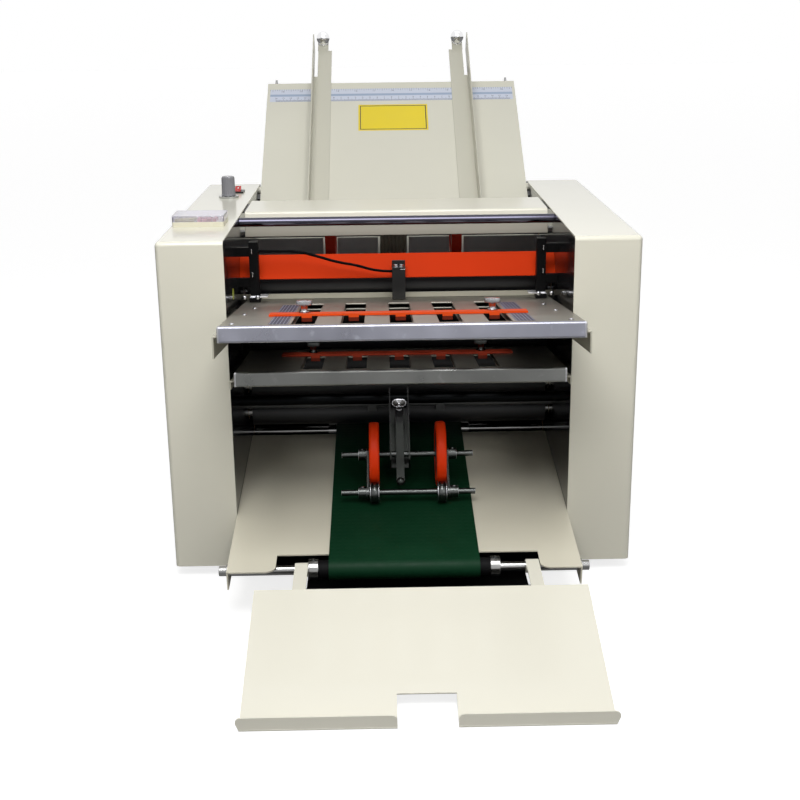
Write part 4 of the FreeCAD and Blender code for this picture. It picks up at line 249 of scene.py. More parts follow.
@dataclass(frozen=True)
class Finish:
    """A surface with a grain, a colour that wanders a little, and a gloss that does too."""

    name: str
    colour: Triple
    roughness: float = 0.4
    metallic: float = 0.0
    coat: float = 0.0
    specular: float = 0.5
    shade_share: float = 0.06
    shade_scale: float = 9.0
    gloss_share: float = 0.15
    grain_scale: float = 900.0
    grain_depth: float = 0.00001
    grain_stretch: Triple = EVEN
    patches: tuple = ()

    def material(self) -> bpy.types.Material:
        """Give this finish's material, made once."""
        found = bpy.data.materials.get(self.name)
        if found:
            return found
        bench = Bench(self.name)
        colour = self.colour_of(bench)
        roughness = self.roughness_of(bench)
        metallic: object = self.metallic
        for patch in self.patches:
            share = bench.inside(patch.low, patch.high)
            colour = bench.mixed(share, colour, patch.colour)
            roughness = bench.between(share, roughness, patch.roughness)
            metallic = bench.between(share, metallic, patch.metallic)
        bench.feed(bench.shader, "Base Color", colour)
        bench.feed(bench.shader, "Roughness", roughness)
        bench.feed(bench.shader, "Metallic", metallic)
        bench.feed(bench.shader, "Specular IOR Level", self.specular)
        bench.feed(bench.shader, "Coat Weight", self.coat)
        bench.feed(bench.shader, "Coat Roughness", 0.06)
        bench.feed(bench.shader, "Normal", self.relief_of(bench))
        self.extra(bench)
        return bench.material

    def colour_of(self, bench: Bench) -> bpy.types.NodeSocket:
        """Give the colour, a little lighter and darker from place to place."""
        dark = tuple(value * (1 - self.shade_share) for value in self.colour)
        light = tuple(min(value * (1 + self.shade_share), 1.0) for value in self.colour)
        return bench.mixed(bench.spread(bench.noise(self.shade_scale), 0.3, 0.7), dark, light)

    def roughness_of(self, bench: Bench) -> bpy.types.NodeSocket | float:
        """Give the roughness: a little higher and lower from place to place, or one plain value."""
        if not self.gloss_share:
            return self.roughness
        low = self.roughness * (1 - self.gloss_share)
        high = min(self.roughness * (1 + self.gloss_share), 1.0)
        return bench.spread(bench.noise(self.shade_scale * 4), 0.3, 0.7, low, high)

    def relief_of(self, bench: Bench) -> bpy.types.NodeSocket:
        """Give the grain's relief."""
        return bench.bump(bench.noise(self.grain_scale, 2.0, self.grain_stretch), self.grain_depth)

    def extra(self, bench: Bench) -> None:
        """Set what only some finishes have."""


@dataclass(frozen=True)
class Enamel(Finish):
    """Baked paint on sheet steel, with an even gloss and a faint orange-peel skin."""

    gloss_share: float = 0.0
    peel_scale: float = 260.0
    peel_depth: float = 0.000012

    def relief_of(self, bench: Bench) -> bpy.types.NodeSocket:
        """Give the orange-peel skin over the finer grain."""
        return bench.bump(bench.noise(self.peel_scale, 1.0), self.peel_depth, super().relief_of(bench))


@dataclass(frozen=True)
class Metal(Finish):
    """Bare or plated metal with lines from rolling or turning, and scuffs."""

    metallic: float = 1.0
    line_scale: float = 700.0
    line_stretch: Triple = (0.02, 1.0, 1.0)
    line_depth: float = 0.000006
    scuff_share: float = 0.25
    scuff_scale: float = 60.0

    def colour_of(self, bench: Bench) -> bpy.types.NodeSocket:
        """Give the metal's colour with brighter scuffs."""
        base = super().colour_of(bench)
        scuffs = bench.spread(bench.noise(self.scuff_scale, 8.0), 0.6, 0.72, 0.0, self.scuff_share)
        return bench.mixed(scuffs, base, tuple(min(value * 1.5, 1.0) for value in self.colour))

    def relief_of(self, bench: Bench) -> bpy.types.NodeSocket:
        """Give fine parallel lines over the grain."""
        lines = bench.noise(self.line_scale, 4.0, self.line_stretch)
        return bench.bump(lines, self.line_depth, super().relief_of(bench))


@dataclass(frozen=True)
class Rubber(Finish):
    """Rubber with a fine matt grain and a trace of paper dust."""

    dust_share: float = 0.08
    dust: Triple = srgb(170, 168, 160)

    def colour_of(self, bench: Bench) -> bpy.types.NodeSocket:
        """Give the rubber's colour with dust on it."""
        base = super().colour_of(bench)
        dusty = bench.spread(bench.noise(130.0, 7.0), 0.52, 0.75, 0.0, self.dust_share)
        return bench.mixed(dusty, base, self.dust)


@dataclass(frozen=True)
class BeltWeave(Rubber):
    """A conveyor belt's woven face under a thin green skin."""

    thread_pitch: float = 0.0011
    thread_depth: float = 0.00009

    def relief_of(self, bench: Bench) -> bpy.types.NodeSocket:
        """Give two crossing sets of threads."""
        waves = []
        for direction in ("X", "Y"):
            node = bench.add("TexWave", {"Vector": bench.coordinates, "Scale": 1 / (self.thread_pitch * 20),
                                         "Distortion": 0.6, "Detail": 2.0}, bands_direction=direction)
            waves.append(node.outputs["Fac"])
        return bench.bump(bench.sums("MULTIPLY", *waves), self.thread_depth, super().relief_of(bench))


@dataclass(frozen=True)
class ClearPlastic(Finish):
    """Clear moulded plastic with a faint tint."""

    clearness: float = 0.8

    def extra(self, bench: Bench) -> None:
        """Let light through."""
        bench.feed(bench.shader, "Transmission Weight", self.clearness)
        bench.feed(bench.shader, "IOR", 1.49)


BRIGHT = srgb(214, 214, 218)
# Painted shadow: near-black for the dark gaps at the bridge cover's ends beside the side frames.
GAP_SHADOW_DARK = srgb(24, 24, 25)
COVER_SCREWS = Patch((None, 0.2536, None), (None, 0.4, None), srgb(168, 168, 166), 0.25, 1.0)
COVER_CREAM = Enamel("cover_enamel", srgb(222, 219, 203), roughness=0.24, coat=0.4, shade_share=0.012,
                     patches=(COVER_SCREWS,))
BRIDGE_CREAM = Enamel("bridge_enamel", srgb(218, 215, 200), roughness=0.3, coat=0.25, shade_share=0.012,
                      # Painted shade: the front lip below the tie rod is coloured greyer for the shadow on
                      # it.
                      patches=(Patch((None, -0.1, 0.3), (None, 0.012, 0.3475), srgb(150, 146, 134), 0.4),
                               # Painted shadow of the gaps at the bridge cover's two ends.
                               Patch((-0.2, None, None), (-0.1726, None, None), GAP_SHADOW_DARK, 0.4),
                               Patch((0.1726, None, None), (0.2, None, None), GAP_SHADOW_DARK, 0.4)))
DELIVERY_CREAM = Enamel("delivery_enamel", srgb(236, 233, 218), roughness=0.3, coat=0.2, shade_share=0.01)
TRAY_CREAM = Enamel("tray_enamel", srgb(206, 204, 189), roughness=0.34, coat=0.2, shade_share=0.015)
GUIDE_CREAM = Enamel("guide_enamel", srgb(190, 188, 173), roughness=0.36, coat=0.2, shade_share=0.015)
TABLE_CREAM = Enamel("table_enamel", srgb(219, 214, 195), roughness=0.3, coat=0.25, shade_share=0.03)
GREY_CREAM = Enamel("rail_enamel", srgb(176, 173, 158), roughness=0.4, coat=0.15, shade_share=0.04)
BLACK_PAINT = Enamel("black_enamel", srgb(17, 17, 20), roughness=0.16, coat=0.3, shade_share=0.2)
DULL_BLACK = Enamel("dull_black_enamel", srgb(13, 13, 14), roughness=0.6, specular=0.08, shade_share=0.25)
GATE_GREY = Enamel("gate_enamel", srgb(150, 151, 153), roughness=0.4, coat=0.1, shade_share=0.1)
ORANGE_PAINT = Enamel("orange_enamel", srgb(188, 48, 4), roughness=0.5, specular=0.04, shade_share=0.05)
STOP_ORANGE = Enamel("stop_orange_enamel", srgb(212, 72, 24), roughness=0.44, specular=0.1)
SHADED_ORANGE = Enamel("shaded_orange_enamel", srgb(142, 48, 28), roughness=0.5, specular=0.1)
SWITCH_RED = Finish("switch_red_plastic", srgb(176, 38, 34), roughness=0.2, coat=0.3, shade_share=0.08)
PLATE_METAL = Metal("plate_nickel", srgb(150, 147, 138), roughness=0.42, gloss_share=0.1,
                    shade_share=0.04, scuff_share=0.08, line_depth=0.000002)
# Painted highlight: the plate bars' ends are pale bright metal for the glint along their bevelled end edges.
BAR_END_HIGHLIGHTS = (Patch((-0.2, None, None), (-0.168, None, None), BRIGHT, 0.3, 1.0),
            Patch((0.168, None, None), (0.2, None, None), BRIGHT, 0.3, 1.0))
UPPER_BAR_METAL = Metal("upper_bar_aluminium", srgb(152, 153, 164), roughness=0.36,
                        gloss_share=0.3, shade_share=0.14, scuff_share=0.5, scuff_scale=90.0,
                        patches=BAR_END_HIGHLIGHTS)
LOWER_BAR_METAL = Metal("lower_bar_aluminium", srgb(124, 125, 123), roughness=0.36,
                        gloss_share=0.3, shade_share=0.14, scuff_share=0.4, scuff_scale=80.0,
                        patches=BAR_END_HIGHLIGHTS)
# Painted highlight: a pale bright metal for the rounded edges of the plate bars and press parts, standing for
# the glint along them.
EDGE_METAL = Metal("edge_highlight_aluminium", srgb(226, 226, 230), roughness=0.34, scuff_share=0.3)
STEEL = Metal("turned_steel", srgb(150, 150, 149), roughness=0.2, line_stretch=(1.0, 0.05, 0.05))
DARK_STEEL = Metal("dark_steel", srgb(84, 86, 85), roughness=0.24, line_stretch=(1.0, 0.1, 0.1),
                   shade_share=0.2)
ARM_SHADE = Patch((None, None, 0.1445), (None, None, 0.2), srgb(14, 14, 15), 0.5)
ARM_STEEL = Metal("arm_steel", srgb(62, 64, 62), roughness=0.36, line_stretch=(1.0, 0.1, 0.1),
                  shade_share=0.2, patches=(ARM_SHADE,))
KNURLED_STEEL = Metal("knurled_steel", srgb(160, 160, 163), roughness=0.24, scuff_share=0.3)
CHROME = Metal("chrome", srgb(176, 180, 182), roughness=0.1, scuff_share=0.05, line_depth=0.000001,
               grain_depth=0.000001)
# Painted reflection: the tie rod's colour is far darker than bare chrome, for the dark surroundings it
# mirrors.
ROD_CHROME = Metal("tie_rod_chrome", srgb(70, 69, 80), roughness=0.14, scuff_share=0.1, shade_share=0.2,
                   shade_scale=5.0, line_depth=0.000001, grain_depth=0.000001)
BRASS = Metal("sintered_bronze", srgb(150, 112, 66), roughness=0.42)
STRIPPERS = Patch((None, None, 0.1384), (None, None, 0.1536), srgb(66, 68, 68), 0.4)
TIE_STEEL = Metal("blackened_steel", srgb(18, 19, 20), roughness=0.4, shade_share=0.2, patches=(STRIPPERS,))
ROLLER_RUBBER = Rubber("roller_rubber", srgb(14, 15, 19), roughness=0.6, specular=0.08, shade_share=0.2,
                       dust_share=0.006)
BLACK_RUBBER = Rubber("black_rubber", srgb(18, 18, 19), roughness=0.66, specular=0.12, shade_share=0.15,
                      dust_share=0.02)
TYRE_RUBBER = Rubber("orange_tyre_rubber", srgb(255, 62, 8), roughness=0.46, specular=0.2,
                     shade_share=0.06, dust_share=0.01)
FEED_RUBBER = Rubber("feed_wheel_rubber", srgb(186, 40, 14), roughness=0.5, specular=0.2, shade_share=0.08,
                     dust_share=0.03)
RIBBED_RUBBER = Rubber("ribbed_wheel_rubber", srgb(118, 112, 98), roughness=0.6, shade_share=0.12)
BELT_GREEN = BeltWeave("belt_weave", srgb(11, 48, 28), roughness=0.5, specular=0.1, shade_share=0.12,
                       dust_share=0.03, dust=srgb(52, 98, 74))
LEAD_BLACK = Rubber("lead_sheath", srgb(6, 6, 7), roughness=0.7, specular=0.04, dust_share=0.0)
BLACK_PLASTIC = Finish("black_plastic", srgb(18, 18, 19), roughness=0.36, specular=0.3, shade_share=0.1)
SENSOR_NUTS = Patch((-0.0045, -0.0565, 0.3092), (0.0062, -0.0517, 0.3126), BRIGHT, 0.2, 1.0)
SENSOR_BLACK = Finish("sensor_plastic", srgb(18, 18, 19), roughness=0.36, specular=0.3,
                      patches=(SENSOR_NUTS,))
POST_CLIPS = Patch((None, None, 0.2794), (None, None, 0.2806), BRIGHT, 0.3, 1.0)
POST_BLACK = Finish("post_enamel", srgb(11, 11, 12), roughness=0.4, specular=0.06, patches=(POST_CLIPS,))
KNOB_RING = Patch((-0.216, 0.112, 0.3615), (-0.189, 0.14, 0.366), srgb(170, 171, 168), 0.25, 1.0)
FITTING_BLACK = Finish("fitting_plastic", srgb(20, 20, 21), roughness=0.34, specular=0.4,
                       patches=(KNOB_RING,))
GREY_PLASTIC = Finish("knob_plastic", srgb(122, 122, 127), roughness=0.22, coat=0.3, shade_share=0.05)
PALE_PLASTIC = Finish("counter_plastic", srgb(212, 208, 188), roughness=0.3, shade_share=0.03)
CLEAR_LID = ClearPlastic("counter_lid", srgb(240, 238, 248), roughness=0.04, shade_share=0.01)
DISPLAY_GREEN = Finish("display_green", srgb(196, 190, 128), roughness=0.3, shade_share=0.05)
KEY_PINK = Finish("key_pink_plastic", srgb(206, 130, 134), roughness=0.3, shade_share=0.05)
RULER_PAPER = Finish("ruler_print", srgb(196, 202, 216), roughness=0.36, shade_share=0.02)
RULER_BAND = Finish("ruler_band_print", srgb(150, 166, 190), roughness=0.36, shade_share=0.05)
STRIP_PAPER = Finish("scale_strip_print", srgb(66, 68, 82), roughness=0.5, specular=0.1, shade_share=0.05)
PRINT_PALE = Finish("pale_print", srgb(150, 154, 172), roughness=0.4, shade_share=0.05)
PRINT_BLUE = Finish("blue_print", srgb(58, 66, 98), roughness=0.4, shade_share=0.1)
PRINT_WHITE = Finish("white_print", srgb(226, 226, 226), roughness=0.4, shade_share=0.02)
LABEL_YELLOW = Finish("label_yellow", srgb(224, 200, 16), roughness=0.36, shade_share=0.03)
# Dark print, and also the painted shade of the screws' cross recesses and hex sockets.
DARK_PRINT_AND_RECESS_SHADE = Finish("dark_print_and_recess_shade", srgb(44, 42, 34), roughness=0.4, shade_share=0.1)
STICKER_GREEN = Finish("sticker_green", srgb(172, 184, 62), roughness=0.4, shade_share=0.06)


@dataclass(frozen=True)
class Rounding:
    """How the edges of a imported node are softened."""

    width: float = 0.0004
    rings: int = 2
    # The edge finish goes on the rounded faces and paints a highlight along the edges.
    edge: Finish | None = None


SHEET_EDGES = Rounding()
SOFT_EDGES = Rounding(0.0008, 3)
FINE_EDGES = Rounding(0.0002, 2)
# These two roundings paint a highlight on the rounded faces with the pale edge metal.
BRIGHT_EDGES = Rounding(0.0007, 2, EDGE_METAL)
THIN_BRIGHT_EDGES = Rounding(0.0003, 2, EDGE_METAL)
TOOTH_EDGES = Rounding(0.0)
MERGE_DISTANCE = 0.000002
NORMAL_WEIGHT = 80
FLAT_ANGLE = math.radians(0.6)
EDGE_ANGLE = math.radians(32)


def soften(piece: bpy.types.Object, rounding: Rounding, keep_sharp: bool) -> None:
    """Round the edges of a piece and even out its shading.

    Args:
        piece: The piece.
        rounding: How its edges are softened.
        keep_sharp: Whether edges that are marked sharp stay so.
    """
    if rounding.width:
        bevel = piece.modifiers.new("soft_edges", "BEVEL")
        bevel.width = rounding.width
        bevel.segments = rounding.rings
        bevel.limit_method = "ANGLE"
        bevel.angle_limit = EDGE_ANGLE
        # Painted highlight: the rounded faces take the edge finish.
        if rounding.edge:
            piece.data.materials.append(rounding.edge.material())
            bevel.material = 1
    shade = piece.modifiers.new("shaded_faces", "WEIGHTED_NORMAL")
    shade.weight = NORMAL_WEIGHT
    shade.keep_sharp = keep_sharp


def dress(node: str, finish: Finish, rounding: Rounding = SHEET_EDGES) -> None:
    """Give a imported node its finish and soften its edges.

    Args:
        node: The node's name.
        finish: What it is made of.
        rounding: How its edges are softened.
    """
    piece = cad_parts[node]
    piece.data.materials.clear()
    piece.data.materials.append(finish.material())
    piece.data.polygons.foreach_set("use_smooth", [True] * len(piece.data.polygons))
    weld = piece.modifiers.new("joined_corners", "WELD")
    weld.merge_threshold = MERGE_DISTANCE
    if rounding.width:
        flat = piece.modifiers.new("whole_faces", "DECIMATE")
        flat.decimate_type = "DISSOLVE"
        flat.angle_limit = FLAT_ANGLE
    soften(piece, rounding, True)
    LOG.info("%s is dressed in %s", node, finish.name)


class Shaper:
    """Collects the surface of one piece in a frame of its own, and makes the piece."""

    def __init__(self, slope: Slope = LEVEL) -> None:
        """Start an empty piece.

        Args:
            slope: The frame that the piece is drawn in.
        """
        self.mesh = bmesh.new()
        self.slope = slope

    def slab(self, low: Triple, high: Triple, finish: int = 0) -> None:
        """Add a block between two corners."""
        corners = [self.mesh.verts.new((high[0] if i & 1 else low[0], high[1] if i & 2 else low[1],
                                        high[2] if i & 4 else low[2])) for i in range(8)]
        for loop in ((0, 2, 3, 1), (4, 5, 7, 6), (0, 1, 5, 4), (2, 6, 7, 3), (0, 4, 6, 2), (1, 3, 7, 5)):
            self.mesh.faces.new([corners[i] for i in loop]).material_index = finish

    def turned(self, outline: list[Pair], centre: Triple, axis: Axis, steps: int = 64, finish: int = 0,
               teeth: int = 0, tooth_depth: float = 0.0, toothed: tuple[int, ...] = (),
               quarter: float = 0.0) -> None:
        """Add a turned shape, closed all round.

        Args:
            outline: Radius and distance along the axis of each corner, from the low end to the high end.
            centre: Where the axis starts.
            axis: The line it turns about.
            steps: Corners round it.
            finish: The number of its finish.
            teeth: Flutes or knurls round it.
            tooth_depth: How deep they are.
            toothed: The outline's corners that have them.
            quarter: Where the first one lies, as a part of a quarter turn.
        """
        rings = []
        for number, (radius, along) in enumerate(outline):
            ring = []
            for step in range(steps if radius else 1):
                angle = FULL_TURN * step / steps
                wave = 0.0
                if number in toothed:
                    wave = (1 + math.cos(teeth * (angle - quarter * math.pi / 2))) / 2
                reach = radius - tooth_depth * wave
                across = (reach * math.cos(angle), reach * math.sin(angle))
                spot = {Axis.X: (along, *across), Axis.Y: (across[0], along, across[1]),
                        Axis.Z: (*across, along)}[axis]
                ring.append(self.mesh.verts.new([c + s for c, s in zip(centre, spot)]))
            rings.append(ring)
        for low, high in zip(rings, rings[1:]):
            for step in range(steps):
                after = (step + 1) % steps
                ends = ((low, step), (low, after), (high, after), (high, step))
                loop = dict.fromkeys(ring[place % len(ring)] for ring, place in ends)
                self.mesh.faces.new(list(loop)).material_index = finish

    def prism(self, outline: list[Pair], low: float, high: float, finish: int = 0) -> None:
        """Add an outline seen from above, raised from one height to another."""
        floor, top = ([self.mesh.verts.new((x, y, z)) for x, y in outline] for z in (low, high))
        self.mesh.faces.new(floor).material_index = finish
        self.mesh.faces.new(top).material_index = finish
        self.wall(floor, top, finish)

    def wall(self, low: list, high: list, finish: int = 0) -> None:
        """Join two rings of corners with as many faces."""
        for step in range(len(low)):
            after = (step + 1) % len(low)
            self.mesh.faces.new((low[step], low[after], high[after], high[step])).material_index = finish

    def lid(self, outer: list[Pair], inner: list[Pair], low: float, high: float, thickness: float) -> None:
        """Add a hollow lid that is open below.

        Args:
            outer: Its outline seen from above.
            inner: The outline of its hollow, with as many corners.
            low: The height of its rim.
            high: The height of its top.
            thickness: The thickness of its top.
        """
        rim, top = ([self.mesh.verts.new((x, y, z)) for x, y in outer] for z in (low, high))
        mouth, roof = ([self.mesh.verts.new((x, y, z)) for x, y in inner] for z in (low, high - thickness))
        self.mesh.faces.new(top)
        self.mesh.faces.new(roof)
        for first, second in ((rim, top), (mouth, roof), (rim, mouth)):
            self.wall(first, second)

    def write(self, text: str, middle: Triple, height: float, finish: int = 0) -> None:
        """Add flat figures that face up out of the frame.

        Args:
            text: The figures.
            middle: The middle of their foot.
            height: Their height.
            finish: The number of their finish.
        """
        curve = bpy.data.curves.new("figures", "FONT")
        curve.body = text
        curve.align_x = "CENTER"
        curve.size = height
        curve.resolution_u = 2
        maker = bpy.data.objects.new("figures", curve)
        flat = bpy.data.meshes.new_from_object(maker)
        flat.transform(Matrix.Translation(middle))
        first = len(self.mesh.faces)
        self.mesh.from_mesh(flat)
        self.mesh.faces.ensure_lookup_table()
        for face in self.mesh.faces[first:]:
            face.material_index = finish
        bpy.data.objects.remove(maker)
        bpy.data.curves.remove(curve)
        bpy.data.meshes.remove(flat)

    def piece(self, name: str, body: Body, finishes: list[Finish], replaced: tuple[str, ...] = (),
              rounding: Rounding = FINE_EDGES, slot: Slot | None = None) -> bpy.types.Object:
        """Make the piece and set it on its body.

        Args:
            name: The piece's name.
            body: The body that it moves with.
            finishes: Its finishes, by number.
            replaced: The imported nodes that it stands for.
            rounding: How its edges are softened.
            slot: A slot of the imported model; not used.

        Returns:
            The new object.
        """
        bmesh.ops.recalc_face_normals(self.mesh, faces=self.mesh.faces)
        self.mesh.transform(self.slope.matrix())
        for face in self.mesh.faces:
            face.smooth = True
        data = bpy.data.meshes.new(name)
        self.mesh.to_mesh(data)
        self.mesh.free()
        for finish in finishes:
            data.materials.append(finish.material())
        made = bpy.data.objects.new(name, data)
        bpy.context.scene.collection.objects.link(made)
        soften(made, rounding, False)
        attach(made, body.value)
        if replaced:
            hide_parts(*replaced)
        LOG.info("%s is made", name)
        return made


def rounded_ends(radius: float, low: float, high: float, corner: float, bore: float = 0.0) -> list[Pair]:
    """List the outline of a turned disc or drum with rounded corners.

    Args:
        radius: Its outer radius.
        low: Where it starts along its axis.
        high: Where it ends.
        corner: The radius of its corners.
        bore: The radius of its hole.

    Returns:
        The outline, from the hole or middle of one end to that of the other.
    """
    steps = 4
    turns = [math.pi / 2 * step / steps for step in range(steps + 1)]
    inner = radius - corner
    start = [(inner + corner * math.sin(turn), low + corner - corner * math.cos(turn)) for turn in turns]
    end = [(inner + corner * math.cos(turn), high - corner + corner * math.sin(turn)) for turn in turns]
    outline = [(bore, low)] + start + end + [(bore, high)]
    return outline + [(bore, low)] if bore else outline


def crowned_rim(radius: float, half: float, crown: float, bore: float) -> list[Pair]:
    """List the outline of a tyre whose tread swells in the middle.

    Args:
        radius: Its largest radius.
        half: Half its width.
        crown: How much lower its shoulders are.
        bore: The radius of its hole.

    Returns:
        The outline, closed on itself.
    """
    steps = 8
    shares = [2 * step / steps - 1 for step in range(steps + 1)]
    drops = [crown * share ** 2 + (crown if abs(share) == 1 else 0) for share in shares]
    tread = [(radius - drop, share * half) for drop, share in zip(drops, shares)]
    return [(bore, -half), *tread, (bore, half), (bore, -half)]


def rounded_rectangle(low: Pair, high: Pair, corner: float) -> list[Pair]:
    """List the corners of a rectangle with round corners, anticlockwise seen from above."""
    steps = 5
    middles = ((high[0] - corner, high[1] - corner), (low[0] + corner, high[1] - corner),
               (low[0] + corner, low[1] + corner), (high[0] - corner, low[1] + corner))
    outline = []
    for number, (x, y) in enumerate(middles):
        for step in range(steps + 1):
            turn = math.pi / 2 * (number + step / steps)
            outline.append((x + corner * math.cos(turn), y + corner * math.sin(turn)))
    return outline


def set_screw(shaper: Shaper, place: Triple, radius: float, rise: float) -> None:
    """Add a set screw that stands a little out of the top of a collar, with its socket drawn as a flat dark
    hexagon, painted shade of the recess.

    Args:
        shaper: What it is added to.
        place: The top of the collar.
        radius: Its radius.
        rise: How far it stands out.
    """
    foot = -radius / 2
    lip = rise + PRINT_RISE
    body = [(0.0, foot), (radius, foot), (radius, rise * 0.7), (radius * 0.8, rise), (0.0, rise)]
    socket = [(0.0, rise), (radius * 0.5, rise), (radius * 0.5, lip), (0.0, lip)]
    shaper.turned(body, place, Axis.Z, 24)
    shaper.turned(socket, place, Axis.Z, 6, 1)


@dataclass
class Studio:
    """The camera at the photograph's place, the floor, the lamps and the white surroundings."""

    camera_place: Triple = (-0.018997, -1.42044, 0.580905)
    camera_yaw: float = -0.82523
    camera_pitch: float = 17.26459
    camera_roll: float = -0.66394
    lens: float = 56.806
    sensor: float = 36.0
    floor_half: float = 12.0
    floor_colour: Triple = srgb(170, 170, 170)
    floor_roughness: float = 0.7
    target: Triple = (0.0, 0.0, 0.25)
    world_strength: float = 0.2
    floor_glow: float = 0.8
    lamps: tuple = field(default_factory=lambda: (
        ("key_lamp", (-0.05, -0.75, 1.2), 0.7, 13.6),
        ("fill_lamp", (0.9, -1.7, 1.0), 1.2, 3.6),
        ("top_lamp", (0.1, 0.4, 1.6), 1.2, 1.5),
    ))

    def build(self) -> None:
        """Set up everything around the machine."""
        self.place_camera()
        self.lay_floor()
        self.hang_lamps()
        self.surround()
        bpy.context.scene.view_settings.view_transform = "Standard"
        LOG.info("the studio is set up")

    def place_camera(self) -> None:
        """Put the camera where the photograph was taken from."""
        yaw, pitch, roll = (math.radians(a) for a in (self.camera_yaw, self.camera_pitch, self.camera_roll))
        level = Vector((math.cos(yaw), math.sin(yaw), 0.0))
        ahead = Vector((-math.sin(yaw) * math.cos(pitch), math.cos(yaw) * math.cos(pitch), -math.sin(pitch)))
        upright = level.cross(ahead)
        right = level * math.cos(roll) + upright * math.sin(roll)
        up = upright * math.cos(roll) - level * math.sin(roll)
        data = bpy.data.cameras.new("camera")
        data.lens = self.lens
        data.sensor_width = self.sensor
        camera = bpy.data.objects.new("camera", data)
        turn = Matrix((right, up, -ahead)).transposed().to_4x4()
        camera.matrix_world = Matrix.Translation(self.camera_place) @ turn
        bpy.context.scene.collection.objects.link(camera)
        bpy.context.scene.camera = camera

    def lay_floor(self) -> None:
        """Lay a plain pale floor that shows white to the camera and keeps the machine's shadow."""
        half = self.floor_half
        data = bpy.data.meshes.new("floor")
        corners = [(-half, -half, 0), (half, -half, 0), (half, half, 0), (-half, half, 0)]
        data.from_pydata(corners, [], [(0, 1, 2, 3)])
        floor = bpy.data.objects.new("floor", data)
        bpy.context.scene.collection.objects.link(floor)
        bench = Bench("pale_floor")
        bench.feed(bench.shader, "Base Color", self.floor_colour)
        bench.feed(bench.shader, "Roughness", self.floor_roughness)
        path = bench.add("LightPath", {})
        glow = bench.add("Emission", {"Color": WHITE, "Strength": self.floor_glow})
        both = bench.add("AddShader", {0: bench.shader.outputs[0], 1: glow.outputs[0]})
        seen = bench.add("MixShader", {0: path.outputs["Is Camera Ray"], 1: bench.shader.outputs[0],
                                       2: both.outputs[0]})
        bench.tree.links.new(seen.outputs[0], bench.tree.nodes["Material Output"].inputs["Surface"])
        data.materials.append(bench.material)

    def hang_lamps(self) -> None:
        """Hang the soft lamps, each aimed at the machine."""
        for name, place, size, power in self.lamps:
            data = bpy.data.lights.new(name, "AREA")
            data.size = size
            data.energy = power
            lamp = bpy.data.objects.new(name, data)
            lamp.location = place
            lamp.rotation_euler = (Vector(self.target) - Vector(place)).to_track_quat("-Z", "Y").to_euler()
            bpy.context.scene.collection.objects.link(lamp)

    def surround(self) -> None:
        """Make the surroundings white to the camera, to metal and to glass, and a soft light for the rest."""
        world = bpy.data.worlds.new("studio")
        bpy.context.scene.world = world
        world.use_nodes = True
        tree = world.node_tree
        path = tree.nodes.new("ShaderNodeLightPath")
        seen = path.outputs["Is Camera Ray"]
        for kind in ("Is Glossy Ray", "Is Transmission Ray"):
            most = tree.nodes.new("ShaderNodeMath")
            most.operation = "MAXIMUM"
            tree.links.new(seen, most.inputs[0])
            tree.links.new(path.outputs[kind], most.inputs[1])
            seen = most.outputs[0]
        strength = tree.nodes.new("ShaderNodeMapRange")
        strength.inputs["To Min"].default_value = self.world_strength
        strength.inputs["To Max"].default_value = 1.0
        tree.links.new(seen, strength.inputs["Value"])
        background = tree.nodes["Background"]
        background.inputs["Color"].default_value = (*WHITE, 1.0)
        tree.links.new(strength.outputs["Result"], background.inputs["Strength"])


@dataclass
class SensorLead:
    """The thin black lead that runs in front of the orange plate to the paper sensor."""

    diameter: float = 0.003
    length: float = 0.1485
    route: tuple = ((-0.152, -0.0546, 0.3285), (-0.131, -0.0546, 0.3285), (-0.109, -0.054, 0.328),
                    (-0.088, -0.0546, 0.3225), (-0.067, -0.0536, 0.3155), (-0.045, -0.053, 0.3115),
                    (-0.022, -0.0536, 0.3045), (-0.0065, -0.0536, 0.3045))

    def build(self) -> None:
        """Lay the lead as one smooth curve."""
        curve = bpy.data.curves.new("sensor_lead_cord", "CURVE")
        curve.dimensions = "3D"
        curve.bevel_depth = self.diameter / 2
        curve.bevel_resolution = 4
        curve.resolution_u = 12
        curve.use_fill_caps = True
        spline = curve.splines.new("NURBS")
        spline.points.add(len(self.route) - 1)
        for point, place in zip(spline.points, self.route):
            point.co = (*place, 1.0)
        spline.order_u = 3
        spline.use_endpoint_u = True
        curve.materials.append(LEAD_BLACK.material())
        lead = bpy.data.objects.new("sensor_lead_cord", curve)
        bpy.context.scene.collection.objects.link(lead)
        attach(lead, Body.FRAME.value)
        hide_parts("sensor_lead")
        LOG.info("the sensor lead is laid")


